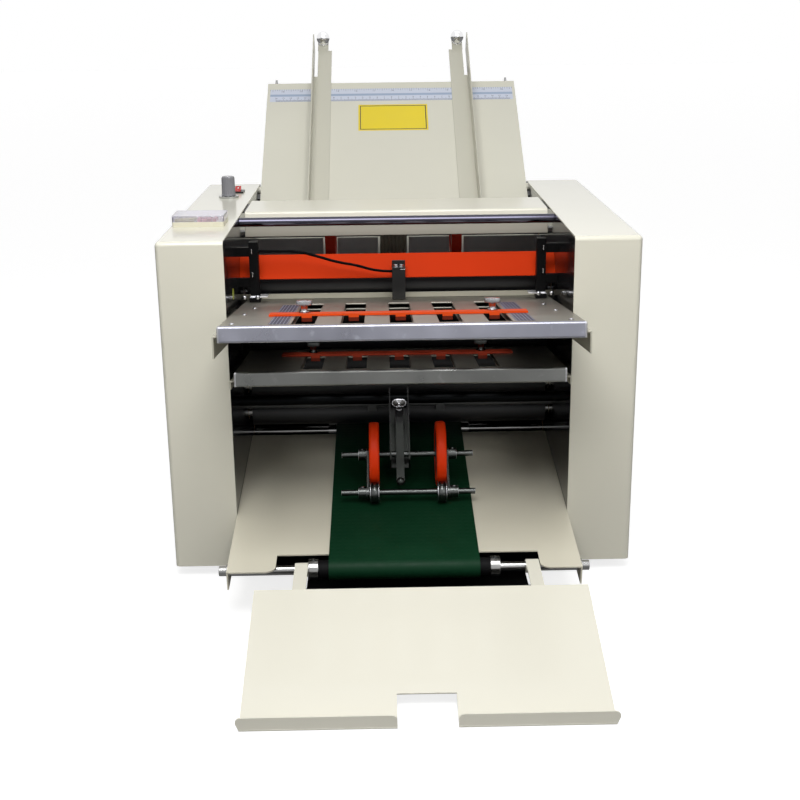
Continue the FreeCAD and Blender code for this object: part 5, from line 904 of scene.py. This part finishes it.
@dataclass
class Cabinet:
    """The two covers, the side frames, the base pan with its feet, and the bars between the frames."""

    sticker_x: float = -0.175
    sticker_y: float = -0.1112
    sticker_z: float = 0.2941
    sticker_radius: float = 0.006
    sticker_rise: float = 0.0003
    screw_xs: tuple[float, ...] = (-0.229, -0.189, 0.189, 0.229)
    screw_zs: tuple[float, ...] = (0.052, 0.302)
    screw_face: float = 0.255
    cross_reach: float = 0.0024
    cross_half: float = 0.0005

    def build(self) -> None:
        """Dress the cabinet and add its sticker."""
        for side in ("left", "right"):
            dress(f"{side}_cover", COVER_CREAM, SHEET_EDGES)
            dress(f"{side}_side_frame", BLACK_PAINT, SHEET_EDGES)
        # The base pan is near-black paint, which also stands in for the deep shadow under the conveyor.
        dress("base_pan", DULL_BLACK)
        dress("rubber_feet", BLACK_RUBBER, SOFT_EDGES)
        dress("cross_members", TIE_STEEL)
        self.stick_sticker()
        self.cross_screws()

    def cross_screws(self) -> None:
        """Make the crosses in the heads of the covers' screws as flat dark crosses, painted shade of the
        recesses.
        """
        shaper = Shaper()
        bar = (self.cross_reach, self.cross_half)
        for x in self.screw_xs:
            for z in self.screw_zs:
                for across, upright in (bar, bar[::-1]):
                    shaper.slab((x - across, self.screw_face - THIN, z - upright),
                                (x + across, self.screw_face + PRINT_RISE, z + upright))
        shaper.piece("cover_screw_crosses", Body.FRAME, [DARK_PRINT_AND_RECESS_SHADE], rounding=TOOTH_EDGES)

    def stick_sticker(self) -> None:
        """Make the plain round sticker on the left frame's inner face."""
        shaper = Shaper()
        outline = [(0.0, 0.0), (self.sticker_radius, 0.0), (self.sticker_radius - THIN, self.sticker_rise),
                   (0.0, self.sticker_rise)]
        shaper.turned(outline, (self.sticker_x, self.sticker_y, self.sticker_z), Axis.X, 40)
        shaper.piece("round_sticker", Body.FRAME, [STICKER_GREEN], rounding=TOOTH_EDGES)


@dataclass
class FeedTable:
    """The feed tray with its printed ruler and blank plate, the rail, and the two paper guides."""

    ruler_half: float = 0.1685
    ruler_low: float = 0.2923
    ruler_high: float = 0.3190
    ruler_rise: float = 0.00012
    band_low: float = 0.3035
    band_high: float = 0.3082
    tick_width: float = 0.00035
    long_tick: float = 0.0062
    middle_tick: float = 0.0046
    short_tick: float = 0.0032
    figure_height: float = 0.0046
    figure_shift: float = 0.0024
    centimetres: int = 33
    half_centimetre: float = 0.005
    millimetre: float = 0.001
    inch: float = 0.0254
    label_low: Pair = (-0.046, 0.2292)
    label_high: Pair = (0.049, 0.2838)
    label_border: float = 0.0012
    label_inset: float = 0.0022

    def build(self) -> None:
        """Dress the tray and the guides, and add the print."""
        dress("feed_tray", TRAY_CREAM)
        dress("guide_rail", STEEL)
        for side in ("left", "right"):
            dress(f"{side}_paper_guide", GUIDE_CREAM)
            dress(f"{side}_guide_knob", CHROME, FINE_EDGES)
        self.print_ruler()
        self.fix_label()

    def tick(self, shaper: Shaper, x: float, start: float, reach: float) -> None:
        """Add one tick that runs from a start along the tray."""
        low, high = sorted((start, start + reach))
        half = self.tick_width / 2
        shaper.slab((x - half, low, self.ruler_rise), (x + half, high, self.ruler_rise + PRINT_RISE), 2)

    def print_ruler(self) -> None:
        """Make the ruler: centimetres along its low edge and inches along its high edge."""
        edge, low, high, rise = self.ruler_half, self.ruler_low, self.ruler_high, self.ruler_rise
        face = rise + PRINT_RISE
        shaper = Shaper(TRAY_SLOPE)
        shaper.slab((-edge, low, 0.0), (edge, high, rise))
        inner = edge - THIN
        shaper.slab((-inner, self.band_low, rise), (inner, self.band_high, rise + PRINT_RISE / 2), 1)
        halves = 2 * (self.centimetres // 2)
        for half in range(-halves, halves + 1):
            start = half * self.half_centimetre
            for step in range(5):
                x = start + step * self.millimetre
                if abs(x) > edge - self.millimetre:
                    continue
                reach = self.short_tick
                if step == 0:
                    reach = self.middle_tick if half % 2 else self.long_tick
                self.tick(shaper, x, low, reach)
            if half % 2 == 0:
                middle = (start, low + self.long_tick + THIN * 3, face)
                shaper.write(str(abs(half // 2)), middle, self.figure_height * 0.8, 2)
        eighths = int(edge / self.inch * 8)
        reaches = {0: self.long_tick, 4: self.middle_tick}
        for step in range(-eighths, eighths + 1):
            x = step * self.inch / 8
            self.tick(shaper, x, high, -reaches.get(step % 8, self.short_tick))
            if step % 8 == 0:
                middle = (x + self.figure_shift, high - self.long_tick - THIN, face)
                shaper.write(str(abs(step // 8)), middle, self.figure_height, 2)
        shaper.piece("printed_ruler", Body.FRAME, [RULER_PAPER, RULER_BAND, PRINT_BLUE], rounding=TOOTH_EDGES)

    def fix_label(self) -> None:
        """Make the blank yellow plate with its dark border line."""
        (low_x, low_run), (high_x, high_run) = self.label_low, self.label_high
        shaper = Shaper(TRAY_SLOPE)
        shaper.slab((low_x, low_run, 0.0), (high_x, high_run, self.ruler_rise))
        inset, line = self.label_inset, self.label_border
        floor, top = self.ruler_rise, self.ruler_rise + PRINT_RISE
        left, right = low_x + inset, high_x - inset
        near, far = low_run + inset, high_run - inset
        shaper.slab((left, near, floor), (right, near + line, top), 1)
        shaper.slab((left, far - line, floor), (right, far, top), 1)
        for x in (left, right - line):
            shaper.slab((x, near + line, floor), (x + line, far - line, top), 1)
        shaper.piece("blank_label", Body.FRAME, [LABEL_YELLOW, DARK_PRINT_AND_RECESS_SHADE], rounding=TOOTH_EDGES)


@dataclass
class FeedHead:
    """The bridge cover, the tie rod, the feed wheels and gate, the orange plate and the paper sensor."""

    shaft_y: float = 0.1132
    shaft_z: float = 0.3192
    shaft_radius: float = 0.005
    wheel_radius: float = 0.032
    wheel_width: float = 0.0124
    wheel_spacing: float = 0.152
    wheel_shift: float = -0.003
    hub_radius: float = 0.012
    rim_depth: float = 0.008
    centre_width: float = 0.032
    ribs: int = 7
    rib_depth: float = 0.0016
    post_x: float = 0.1585
    post_front: float = -0.0646
    clip_heights: Pair = (0.3049, 0.3304)
    clip_half: Triple = (0.0006, 0.002, 0.0026)
    foot_screws: Pair = (0.154, 0.1685)
    foot_height: float = 0.2795
    foot_radius: float = 0.0026
    sensor_front: float = -0.0596
    sensor_mark: Triple = (0.0024, 0.0079, 0.3072)

    def build(self) -> None:
        """Dress the feed head and build its wheels, its clips and its small screws."""
        dress("bridge_cover", BRIDGE_CREAM, SOFT_EDGES)
        dress("front_tie_rod", ROD_CHROME, SOFT_EDGES)
        dress("infeed_guides", GATE_GREY, FINE_EDGES)
        dress("paper_guide_plate", ORANGE_PAINT)
        dress("paper_sensor", SENSOR_BLACK, FINE_EDGES)
        dress("end_posts", POST_BLACK, FINE_EDGES)
        dress("feed_shaft", STEEL, FINE_EDGES)
        self.turn_wheels()
        self.clip_posts()

    def clip_posts(self) -> None:
        """Make the bright clips and foot screws of the end posts, and the sensor's bright edge."""
        shaper = Shaper()
        width, depth, height = self.clip_half
        for sign in (-1, 1):
            for middle in self.clip_heights:
                x = sign * self.post_x
                shaper.slab((x - width, self.post_front - width, middle - height),
                            (x + width, self.post_front + depth, middle + height))
            for x in self.foot_screws:
                dome = [(self.foot_radius * math.cos(turn), -self.foot_radius * 0.6 * math.sin(turn))
                        for turn in (math.pi / 2 * step / 4 for step in range(4, -1, -1))]
                shaper.turned([*dome, (0.0, 0.0)], (sign * x, self.post_front, self.foot_height), Axis.Y, 24)
        low, high, height = self.sensor_mark
        front = self.sensor_front
        shaper.slab((low, front - width / 2, height), (high, front + width, height + width))
        shaper.piece("post_clips", Body.FRAME, [KNURLED_STEEL], slot=Slot.BRIGHT_STEEL)

    def turn_wheels(self) -> None:
        """Make two orange feed wheels and the ribbed wheel between them."""
        bore = self.shaft_radius + THIN / 2
        shaper = Shaper()
        for sign in (-1, 1):
            middle = (self.wheel_shift + sign * self.wheel_spacing / 2, self.shaft_y, self.shaft_z)
            half = self.wheel_width / 2
            tyre = rounded_ends(self.wheel_radius, -half, half, 0.0012, self.wheel_radius - self.rim_depth)
            shaper.turned(tyre, middle, Axis.X, 72)
            hub = rounded_ends(self.wheel_radius - self.rim_depth, -half * 0.7, half * 0.7, 0.0006, bore)
            shaper.turned(hub, middle, Axis.X, 48, 1)
        shaper.piece("orange_feed_wheels", Body.FEED, [FEED_RUBBER, BLACK_PLASTIC], ("feed_wheels",),
                     TOOTH_EDGES, Slot.ORANGE_RUBBER)
        shaper = Shaper()
        half = self.centre_width / 2
        pitch = self.centre_width / self.ribs
        outline = [(bore, -half)]
        for rib in range(self.ribs):
            start = -half + rib * pitch
            foot = self.wheel_radius - self.rib_depth
            outline += [(foot, start), (self.wheel_radius, start + pitch * 0.2),
                        (self.wheel_radius, start + pitch * 0.7), (foot, start + pitch * 0.9)]
        outline += [(self.wheel_radius - self.rib_depth, half), (bore, half), (bore, -half)]
        shaper.turned(outline, (self.wheel_shift, self.shaft_y, self.shaft_z), Axis.X, 72)
        shaper.piece("ribbed_feed_wheel", Body.FEED, [RIBBED_RUBBER], ("feed_wheels",), TOOTH_EDGES,
                     Slot.BLACK_RUBBER)


@dataclass
class BucklePlate:
    """One front fold plate with its bar, its stop and the stop's two knurled knobs."""

    place: str
    body: Body
    slope: Slope
    stop_run: float
    bar: Finish
    stop: Finish
    knob: Finish
    finger_shadow: Patch
    top: float = 0.0035
    stop_shift: float = -0.002
    knob_spacing: float = 0.186
    knob_back: float = 0.004
    knob_radius: float = 0.008
    knob_head: float = 0.0045
    knob_edge: float = 0.0005
    knob_seat: float = 0.0061
    neck: float = 0.006
    neck_radius: float = 0.0036
    washer: float = 0.0012
    washer_radius: float = 0.005
    shank_radius: float = 0.0022
    shank_tip: float = -0.0017
    knurls: int = 44
    screw_places: tuple[Pair, ...] = ()
    screw_radius: float = 0.0026
    screw_rise: float = 0.0015
    scale_places: tuple = ()
    scale_lines: int = 5
    scale_line: float = 0.0005
    scale_tick: float = 0.0003
    scale_pitch: float = 0.002
    scale_line_share: float = 0.92

    def build(self) -> None:
        """Dress the plate and build its knobs, screws and printed scales."""
        dress(f"{self.place}_fold_plate", PLATE_METAL)
        dress(f"{self.place}_plate_bar", self.bar, BRIGHT_EDGES)
        # The fingers' patch is a painted shadow.
        stop = replace(self.stop, name=f"{self.place}_{self.stop.name}", patches=(self.finger_shadow,))
        dress(f"{self.place}_stop_bar", stop, FINE_EDGES)
        for side, sign in (("left", -1), ("right", 1)):
            self.turn_knob(side, sign)
        if self.screw_places:
            self.drive_screws()
        for number, place in enumerate(self.scale_places):
            self.print_scale(number + 1, place)

    def turn_knob(self, side: str, sign: int) -> None:
        """Make one knurled stop knob with its neck, washer and shank."""
        shaper = Shaper(self.slope)
        low = self.knob_seat
        head = low + self.washer + self.neck
        top = head + self.knob_head
        seat = low + self.washer
        radius, edge = self.knob_radius, self.knob_edge
        dish = top - edge * 0.6
        outline = [(0.0, self.shank_tip), (self.shank_radius, self.shank_tip), (self.shank_radius, low),
                   (self.washer_radius, low), (self.washer_radius, seat), (self.neck_radius, seat),
                   (self.neck_radius, head), (radius - edge, head), (radius, head + edge),
                   (radius, top - edge), (radius - edge, top), (radius * 0.55, top), (radius * 0.5, dish),
                   (0.0, dish)]
        centre = (self.stop_shift + sign * self.knob_spacing / 2, -self.stop_run + self.knob_back, 0.0)
        shaper.turned(outline, centre, Axis.Z, self.knurls * 4, 0, self.knurls, edge, (8, 9))
        node = f"{self.place}_{side}_stop_knob"
        shaper.piece(f"{self.place}_{side}_knurled_knob", Body(node), [self.knob], (node,), TOOTH_EDGES,
                     Slot.CHROME)

    def drive_screws(self) -> None:
        """Make the domed screws that hold the plate's two sheets to their spacers."""
        shaper = Shaper(self.slope)
        for x, run in self.screw_places:
            dome = [(self.screw_radius * math.cos(turn), self.top + self.screw_rise * math.sin(turn))
                    for turn in (math.pi / 2 * step / 5 for step in range(5))]
            outline = [(0.0, self.top), *dome, (0.0, self.top + self.screw_rise)]
            shaper.turned(outline, (x, run, 0.0), Axis.Z, 32)
        shaper.piece(f"{self.place}_plate_screws", self.body, [KNURLED_STEEL], rounding=TOOTH_EDGES,
                     slot=Slot.BRIGHT_STEEL)

    def print_scale(self, number: int, place: tuple) -> None:
        """Make one narrow scale strip with its long lines and ticks.

        Args:
            number: Which strip it is.
            place: Its low x, high x, front run and rear run.
        """
        low_x, high_x, front, rear = place
        width = (high_x - low_x) * self.scale_line_share
        column = low_x + (high_x - low_x) * (1 - self.scale_line_share) / 2
        base, top = self.top, self.top + THIN
        face = top + PRINT_RISE
        half, fine = self.scale_line / 2, self.scale_tick / 2
        shaper = Shaper(self.slope)
        shaper.slab((low_x, front, base), (high_x, rear, top))
        for line in range(self.scale_lines + 1):
            x = column + width * line / self.scale_lines
            shaper.slab((x - half, front + THIN, top), (x + half, rear - THIN, face), 1)
        ticks = int((rear - front) / self.scale_pitch)
        for tick in range(1, ticks):
            reach = width / self.scale_lines * (0.6 if tick % 5 == 0 else 0.35)
            run = front + tick * self.scale_pitch
            shaper.slab((column, run - fine, top), (column + reach, run + fine, face), 1)
        shaper.piece(f"{self.place}_scale_strip_{number}", self.body, [STRIP_PAPER, PRINT_PALE],
                     rounding=TOOTH_EDGES)


@dataclass
class RollerStack:
    """The six fold rollers with their gears and bushes, the rear plates and the plate rails."""

    rollers: int = 6
    face_half: float = 0.1702

    def build(self) -> None:
        """Dress the stack, with rubber between the frames and steel outside them."""
        half = self.face_half
        band = Patch((-half, None, None), (half, None, None), ROLLER_RUBBER.colour, 0.5)
        finish = Metal("roller_steel_and_rubber", STEEL.colour, roughness=0.26,
                       line_stretch=(1.0, 0.05, 0.05), patches=(band,))
        for number in range(1, self.rollers + 1):
            dress(f"fold_roller_{number}", finish, FINE_EDGES)
        dress("roller_bushes", BRASS, FINE_EDGES)
        dress("rear_fold_plates", PLATE_METAL)
        dress("plate_rails", GREY_CREAM)


@dataclass
class DeliveryConveyor:
    """The sloping table with its belt, rollers and shaft."""

    shaft_y: float = -0.2711
    shaft_z: float = 0.0486
    collar_x: float = 0.0901
    collar_radius: float = 0.0104
    screw_radius: float = 0.0021
    screw_rise: float = 0.0009

    def build(self) -> None:
        """Dress the conveyor."""
        dress("conveyor_table", TABLE_CREAM)
        self.turn_collars()
        dress("conveyor_belt", BELT_GREEN, FINE_EDGES)
        dress("conveyor_shaft", STEEL, SHEET_EDGES)
        dress("front_roller", DULL_BLACK, FINE_EDGES)
        dress("rear_roller", STEEL, FINE_EDGES)
        dress("delivery_tray", DELIVERY_CREAM, SHEET_EDGES)

    def turn_collars(self) -> None:
        """Make the set screws of the shaft's collars."""
        shaper = Shaper()
        for x in (-self.collar_x, self.collar_x):
            set_screw(shaper, (x, self.shaft_y, self.shaft_z + self.collar_radius), self.screw_radius,
                      self.screw_rise)
        shaper.piece("shaft_set_screws", Body.FRAME, [DARK_STEEL, DARK_PRINT_AND_RECESS_SHADE], rounding=TOOTH_EDGES,
                     slot=Slot.BRIGHT_STEEL)


@dataclass
class PressUnit:
    """The press arm, its two orange wheels, the trailing wheels and the thumb screw."""

    middle: float = 0.007
    axis_y: float = -0.1226
    axis_z: float = 0.1156
    trailing_y: float = -0.1614
    trailing_z: float = 0.0866
    wheel_radius: float = 0.0355
    wheel_width: float = 0.0108
    wheel_spacing: float = 0.072
    hub_radius: float = 0.009
    rim: float = 0.0058
    rim_step: float = 0.0006
    web: float = 0.0036
    bore: float = 0.0033
    crown: float = 0.0007
    trailing_radius: float = 0.012
    trailing_width: float = 0.010
    flange: float = 0.0012
    groove: float = 0.0009
    collar_radius: float = 0.0062
    collar_xs: Pair = (-0.0418, 0.0558)
    set_screw_radius: float = 0.0016
    set_screw_rise: float = 0.0008
    arm_middle: float = -0.001
    screw_run: float = 0.052
    screw_foot: float = -0.01
    screw_seat: float = 0.0093
    shank_radius: float = 0.0025
    nut_radius: float = 0.004
    nut_height: float = 0.004
    neck_height: float = 0.004
    head_radius: float = 0.0078
    head_height: float = 0.0056
    head_edge: float = 0.0005
    lobes: int = 2
    lobe_depth: float = 0.0026

    def build(self) -> None:
        """Dress the unit and build its wheels, thumb screw and set screws."""
        dress("press_arm", ARM_STEEL, THIN_BRIGHT_EDGES)
        dress("press_shaft", DARK_STEEL, THIN_BRIGHT_EDGES)
        dress("trailing_arms", DARK_STEEL, THIN_BRIGHT_EDGES)
        self.turn_press_wheels()
        self.turn_trailing_wheels()
        self.turn_thumb_screw()
        self.drive_set_screws("press", Body.PRESS_WHEELS, self.axis_y, self.axis_z)
        self.drive_set_screws("trailing", Body.TRAILING_ARMS, self.trailing_y, self.trailing_z)

    def turn_press_wheels(self) -> None:
        """Make the two wheels: a crowned rubber tyre on a dark web and hub."""
        shaper = Shaper()
        half = self.wheel_width / 2
        seat = self.wheel_radius - self.rim
        step = self.rim_step
        web = self.web / 2
        for sign in (-1, 1):
            place = (self.middle + sign * self.wheel_spacing / 2, self.axis_y, self.axis_z)
            shaper.turned(crowned_rim(self.wheel_radius, half, self.crown, seat), place, Axis.X, 96)
            hub, inner, rim = self.hub_radius, seat - 2 * step, half - 2 * step
            body = [(self.bore, -half), (hub - step, -half), (hub, step - half), (hub, -web), (inner, -web),
                    (inner, -rim), (seat, -rim), (seat, rim), (inner, rim), (inner, web), (hub, web),
                    (hub, half - step), (hub - step, half), (self.bore, half), (self.bore, -half)]
            shaper.turned(body, place, Axis.X, 72, 1)
        shaper.piece("crowned_press_wheels", Body.PRESS_WHEELS, [TYRE_RUBBER, BLACK_PLASTIC],
                     ("press_wheels",), TOOTH_EDGES, Slot.ORANGE_RUBBER)

    def turn_trailing_wheels(self) -> None:
        """Make the two small wheels, with a bright flange on each side of a dark tread."""
        shaper = Shaper()
        half = self.trailing_width / 2
        radius, flange, bore = self.trailing_radius, self.flange, self.bore
        tread, seat = radius - self.groove, half - flange
        for sign in (-1, 1):
            place = (self.middle + sign * self.wheel_spacing / 2, self.trailing_y, self.trailing_z)
            for low in (-half, seat):
                edge = rounded_ends(radius, low, low + flange, flange * 0.4, bore)
                shaper.turned(edge, place, Axis.X, 56, 1)
            middle = [(bore, -seat), (tread, -seat), (tread, seat), (bore, seat), (bore, -seat)]
            shaper.turned(middle, place, Axis.X, 56)
        shaper.piece("flanged_trailing_wheels", Body.TRAILING_WHEELS, [DARK_STEEL, KNURLED_STEEL],
                     ("trailing_wheels",), TOOTH_EDGES, Slot.BRIGHT_STEEL)

    def turn_thumb_screw(self) -> None:
        """Make the thumb screw, whose cupped head has two lobes."""
        shaper = Shaper(PRESS_SLOPE)
        seat, shank, nut = self.screw_seat, self.shank_radius, self.nut_radius
        nut_top = seat + self.nut_height
        head = nut_top + self.neck_height
        top = head + self.head_height
        radius, edge = self.head_radius, self.head_edge
        outline = [(0.0, self.screw_foot), (shank, self.screw_foot), (shank, seat), (nut - edge, seat),
                   (nut, seat + edge), (nut, nut_top - edge), (nut - edge, nut_top), (shank, nut_top),
                   (shank, head), (radius * 0.45, head + edge),
                   (radius * 0.75, head + self.head_height * 0.4), (radius, top - edge), (radius, top),
                   (radius * 0.8, top - edge), (radius * 0.4, top - self.head_height * 0.35),
                   (0.0, top - self.head_height * 0.45)]
        shaper.turned(outline, (self.arm_middle, self.screw_run, 0.0), Axis.Z, 64, 0, self.lobes,
                      self.lobe_depth, (11, 12, 13), 1.0)
        shaper.piece("two_lobed_thumb_screw", Body.PRESS_SCREW, [KNURLED_STEEL], ("press_screw",),
                     TOOTH_EDGES, Slot.CHROME)

    def drive_set_screws(self, name: str, body: Body, y: float, z: float) -> None:
        """Make the set screws of the two collars on one shaft."""
        shaper = Shaper()
        for x in self.collar_xs:
            set_screw(shaper, (x, y, z + self.collar_radius), self.set_screw_radius, self.set_screw_rise)
        shaper.piece(f"{name}_set_screws", body, [KNURLED_STEEL, DARK_PRINT_AND_RECESS_SHADE], rounding=TOOTH_EDGES,
                     slot=Slot.BRIGHT_STEEL)


@dataclass
class ControlPanel:
    """The counter, the speed knob and the power switch on the left cover, and the mains inlet."""

    top: float = 0.362
    counter_low: Pair = (-0.2385, -0.0891)
    counter_high: Pair = (-0.1835, -0.0491)
    counter_corner: float = 0.002
    case_height: float = 0.0052
    counter_height: float = 0.0116
    lid_wall: float = 0.0012
    display_low: Pair = (-0.2355, -0.0872)
    display_high: Pair = (-0.2145, -0.066)
    display_height: float = 0.003
    figure_height: float = 0.0088
    key_columns: int = 4
    key_rows: int = 2
    key_start: Pair = (-0.2118, -0.0872)
    key_pitch: Pair = (0.0053, 0.0105)
    key_size: Pair = (0.0043, 0.0075)
    key_height: float = 0.0032
    knob_x: float = -0.2025
    knob_y: float = 0.1264
    knob_radius: float = 0.0086
    knob_top: float = 0.388
    knob_foot: float = 0.3648
    knob_shaft_low: float = 0.3494
    knob_shaft_radius: float = 0.003
    skirt: float = 0.0018
    flutes: int = 20
    flute_depth: float = 0.0005
    pointer_half: float = 0.0006
    dial_radius: float = 0.01008
    dial_top: float = 0.3645
    dial_steps: int = 11
    dial_span: float = math.radians(300)
    rocker_x: float = -0.196
    rocker_half: float = 0.0037
    rocker_profile: tuple[Pair, ...] = ((0.1661, 0.3576), (0.1776, 0.3576), (0.1781, 0.3632), (0.178, 0.3692),
                                        (0.1772, 0.3694), (0.1715, 0.365), (0.1662, 0.3647))
    mark_half: float = 0.0011
    mark_line: float = 0.0003
    inlet_middle: Pair = (-0.209, 0.072)
    inlet_foot: float = 0.2414
    pin_reach: float = 0.0105
    pin_half: Pair = (0.001, 0.0021)
    pin_places: tuple[Pair, ...] = ((-0.007, -0.0015), (0.0, 0.0025), (0.007, -0.0015))

    def build(self) -> None:
        """Dress the controls and build the counter, the knob, the rocker and the inlet's pins."""
        dress("electrical_fittings", FITTING_BLACK, SHEET_EDGES)
        self.build_counter()
        self.turn_speed_knob()
        self.mark_dial()
        self.shape_rocker()
        self.set_pins()

    def build_counter(self) -> None:
        """Make the counter: a pale case, a display, two rows of keys and a clear lid over them."""
        deck = self.top + self.case_height
        shaper = Shaper()
        outline = rounded_rectangle(self.counter_low, self.counter_high, self.counter_corner)
        shaper.prism(outline, self.top, deck)
        shaper.piece("counter_case", Body.FRAME, [PALE_PLASTIC], ("counter_box",))
        shaper = Shaper()
        (low_x, low_y), (high_x, high_y) = self.display_low, self.display_high
        face = deck + self.display_height
        shaper.slab((low_x, low_y, deck), (high_x, high_y, face))
        shaper.write("0000", ((low_x + high_x) / 2, low_y + self.figure_height * 0.75, face + THIN),
                     self.figure_height, 1)
        shaper.piece("counter_display", Body.FRAME, [DISPLAY_GREEN, DARK_PRINT_AND_RECESS_SHADE], ("counter_box",),
                     TOOTH_EDGES)
        shaper = Shaper()
        for column in range(self.key_columns):
            for row in range(self.key_rows):
                x = self.key_start[0] + column * self.key_pitch[0]
                y = self.key_start[1] + row * self.key_pitch[1]
                high = (x + self.key_size[0], y + self.key_size[1], deck + self.key_height)
                shaper.slab((x, y, deck), high)
        shaper.piece("counter_keys", Body.FRAME, [KEY_PINK], ("counter_box",), slot=Slot.RED_PLASTIC)
        shaper = Shaper()
        wall = self.lid_wall
        inner = rounded_rectangle((self.counter_low[0] + wall, self.counter_low[1] + wall),
                                  (self.counter_high[0] - wall, self.counter_high[1] - wall),
                                  self.counter_corner - wall)
        shaper.lid(outline, inner, deck, self.top + self.counter_height, wall)
        shaper.piece("counter_lid", Body.FRAME, [CLEAR_LID], ("counter_box",), slot=Slot.CLEAR_PLASTIC)

    def turn_speed_knob(self) -> None:
        """Make the fluted knob with its skirt, its shaft and its white pointer line."""
        shaper = Shaper()
        radius, foot, top = self.knob_radius, self.knob_foot, self.knob_top
        outline = [(0.0, self.knob_shaft_low), (self.knob_shaft_radius, self.knob_shaft_low),
                   (self.knob_shaft_radius, foot), (radius - THIN, foot), (radius, foot + THIN * 3),
                   (radius, foot + self.skirt), (radius * 0.95, foot + self.skirt * 1.3),
                   (radius * 0.92, top - self.skirt * 1.3), (radius * 0.84, top - self.skirt * 0.3),
                   (radius * 0.76, top), (0.0, top)]
        shaper.turned(outline, (self.knob_x, self.knob_y, 0.0), Axis.Z, self.flutes * 6, 0, self.flutes,
                      self.flute_depth, (6, 7))
        shaper.slab((self.knob_x - self.pointer_half, self.knob_y - radius * 0.72, top - THIN),
                    (self.knob_x + self.pointer_half, self.knob_y - radius * 0.1, top + THIN), 1)
        shaper.piece("fluted_speed_knob", Body.SPEED_KNOB, [GREY_PLASTIC, PRINT_WHITE], ("speed_knob",),
                     TOOTH_EDGES, Slot.GREY_PLASTIC)

    def mark_dial(self) -> None:
        """Make the white dots round the knob on its ring."""
        shaper = Shaper()
        dot = [(0.0, 0.0), (self.pointer_half, 0.0), (self.pointer_half, THIN), (0.0, THIN)]
        radius = self.dial_radius
        for step in range(self.dial_steps):
            turn = -math.pi / 2 + self.dial_span * (step / (self.dial_steps - 1) - 0.5)
            x, y = self.knob_x + radius * math.cos(turn), self.knob_y + radius * math.sin(turn)
            shaper.turned(dot, (x, y, self.dial_top), Axis.Z, 12)
        shaper.piece("dial_dots", Body.FRAME, [PRINT_WHITE], rounding=TOOTH_EDGES)

    def shape_rocker(self) -> None:
        """Make the red rocker with its raised rear end, and the marks for on and off."""
        shaper = Shaper()
        low, high = self.rocker_x - self.rocker_half, self.rocker_x + self.rocker_half
        rings = [[shaper.mesh.verts.new((x, y, z)) for y, z in self.rocker_profile] for x in (low, high)]
        for ring in rings:
            shaper.mesh.faces.new(ring)
        shaper.wall(*rings)
        line, half = self.mark_line, self.mark_half
        y, z = self.rocker_profile[-1]
        x, middle = self.rocker_x, y + half * 2.2
        shaper.slab((x - line, middle - half, z - THIN), (x + line, middle + half, z + THIN), 1)
        (top_y, top_z), (foot_y, foot_z) = self.rocker_profile[4], self.rocker_profile[5]
        lean = math.degrees(math.atan2(top_z - foot_z, top_y - foot_y))
        raised = Shaper(Slope(foot_y, foot_z, lean))
        run = math.hypot(top_y - foot_y, top_z - foot_z)
        inner = half - 2 * line
        circle = [(half, -THIN), (half, THIN), (inner, THIN), (inner, -THIN), (half, -THIN)]
        raised.turned(circle, (x, run / 2, 0.0), Axis.Z, 32)
        shaper.piece("red_rocker", Body.ROCKER, [SWITCH_RED, PRINT_WHITE], ("power_rocker",), FINE_EDGES,
                     Slot.RED_PLASTIC)
        raised.piece("rocker_off_mark", Body.ROCKER, [PRINT_WHITE], rounding=TOOTH_EDGES)

    def set_pins(self) -> None:
        """Make the three flat pins in the mains inlet."""
        shaper = Shaper()
        x, z = self.inlet_middle
        across, upright = self.pin_half
        for shift, rise in self.pin_places:
            shaper.slab((x + shift - across, self.inlet_foot, z + rise - upright),
                        (x + shift + across, self.inlet_foot + self.pin_reach, z + rise + upright))
        shaper.piece("inlet_pins", Body.FRAME, [STEEL], slot=Slot.BRIGHT_STEEL)


@dataclass
class Drive:
    """The motor with its pulley and the toothless belts beside the right frame."""

    def build(self) -> None:
        """Dress the drive."""
        dress("drive_motor", DULL_BLACK)
        dress("motor_pulley", STEEL, FINE_EDGES)
        dress("drive_belts", BLACK_RUBBER, FINE_EDGES)


def build_plates() -> list[BucklePlate]:
    """Give the two front plates with their own places and sizes."""
    left = ((-0.151, -0.108), (-0.155, -0.172), (-0.158, -0.256))
    right = tuple((-x, run) for x, run in left)
    # Painted shadow: the stop bars' fingers, seen through the plates' slots, are dark red-brown for the shade
    # between the sheets.
    finger_shadow_orange = srgb(96, 32, 18)
    upper_finger_shadow = Patch((None, -0.22, 0.28), (None, -0.2088, 0.2922), finger_shadow_orange, 0.5)
    lower_finger_shadow = Patch((None, -0.09, 0.2), (None, -0.0728, 0.2145), finger_shadow_orange, 0.5)
    upper = BucklePlate("upper", Body.UPPER_PLATE, UPPER_SLOPE, 0.1836, UPPER_BAR_METAL, STOP_ORANGE,
                        KNURLED_STEEL, upper_finger_shadow,
                        screw_places=left + right,
                        scale_places=((-0.124, -0.106, -0.262, -0.075), (0.106, 0.124, -0.262, -0.075)))
    # The lower plate's stop and knobs take darker finishes than the upper ones: painted shade, as they lie in
    # the upper plate's shadow.
    lower = BucklePlate("lower", Body.LOWER_PLATE, LOWER_SLOPE, 0.0463, LOWER_BAR_METAL,
                        SHADED_ORANGE, DARK_STEEL, lower_finger_shadow)
    return [upper, lower]


def main() -> None:
    """Build the studio, then the machine's groups of pieces in order."""
    logging.basicConfig(level=logging.INFO, format="%(message)s")
    Studio().build()
    SensorLead().build()
    groups = [Cabinet(), FeedTable(), FeedHead(), *build_plates(), RollerStack(), DeliveryConveyor(),
              PressUnit(), ControlPanel(), Drive()]
    for group in groups:
        group.build()
        LOG.info("%s is complete", type(group).__name__)


if __name__ == "__main__":
    main()
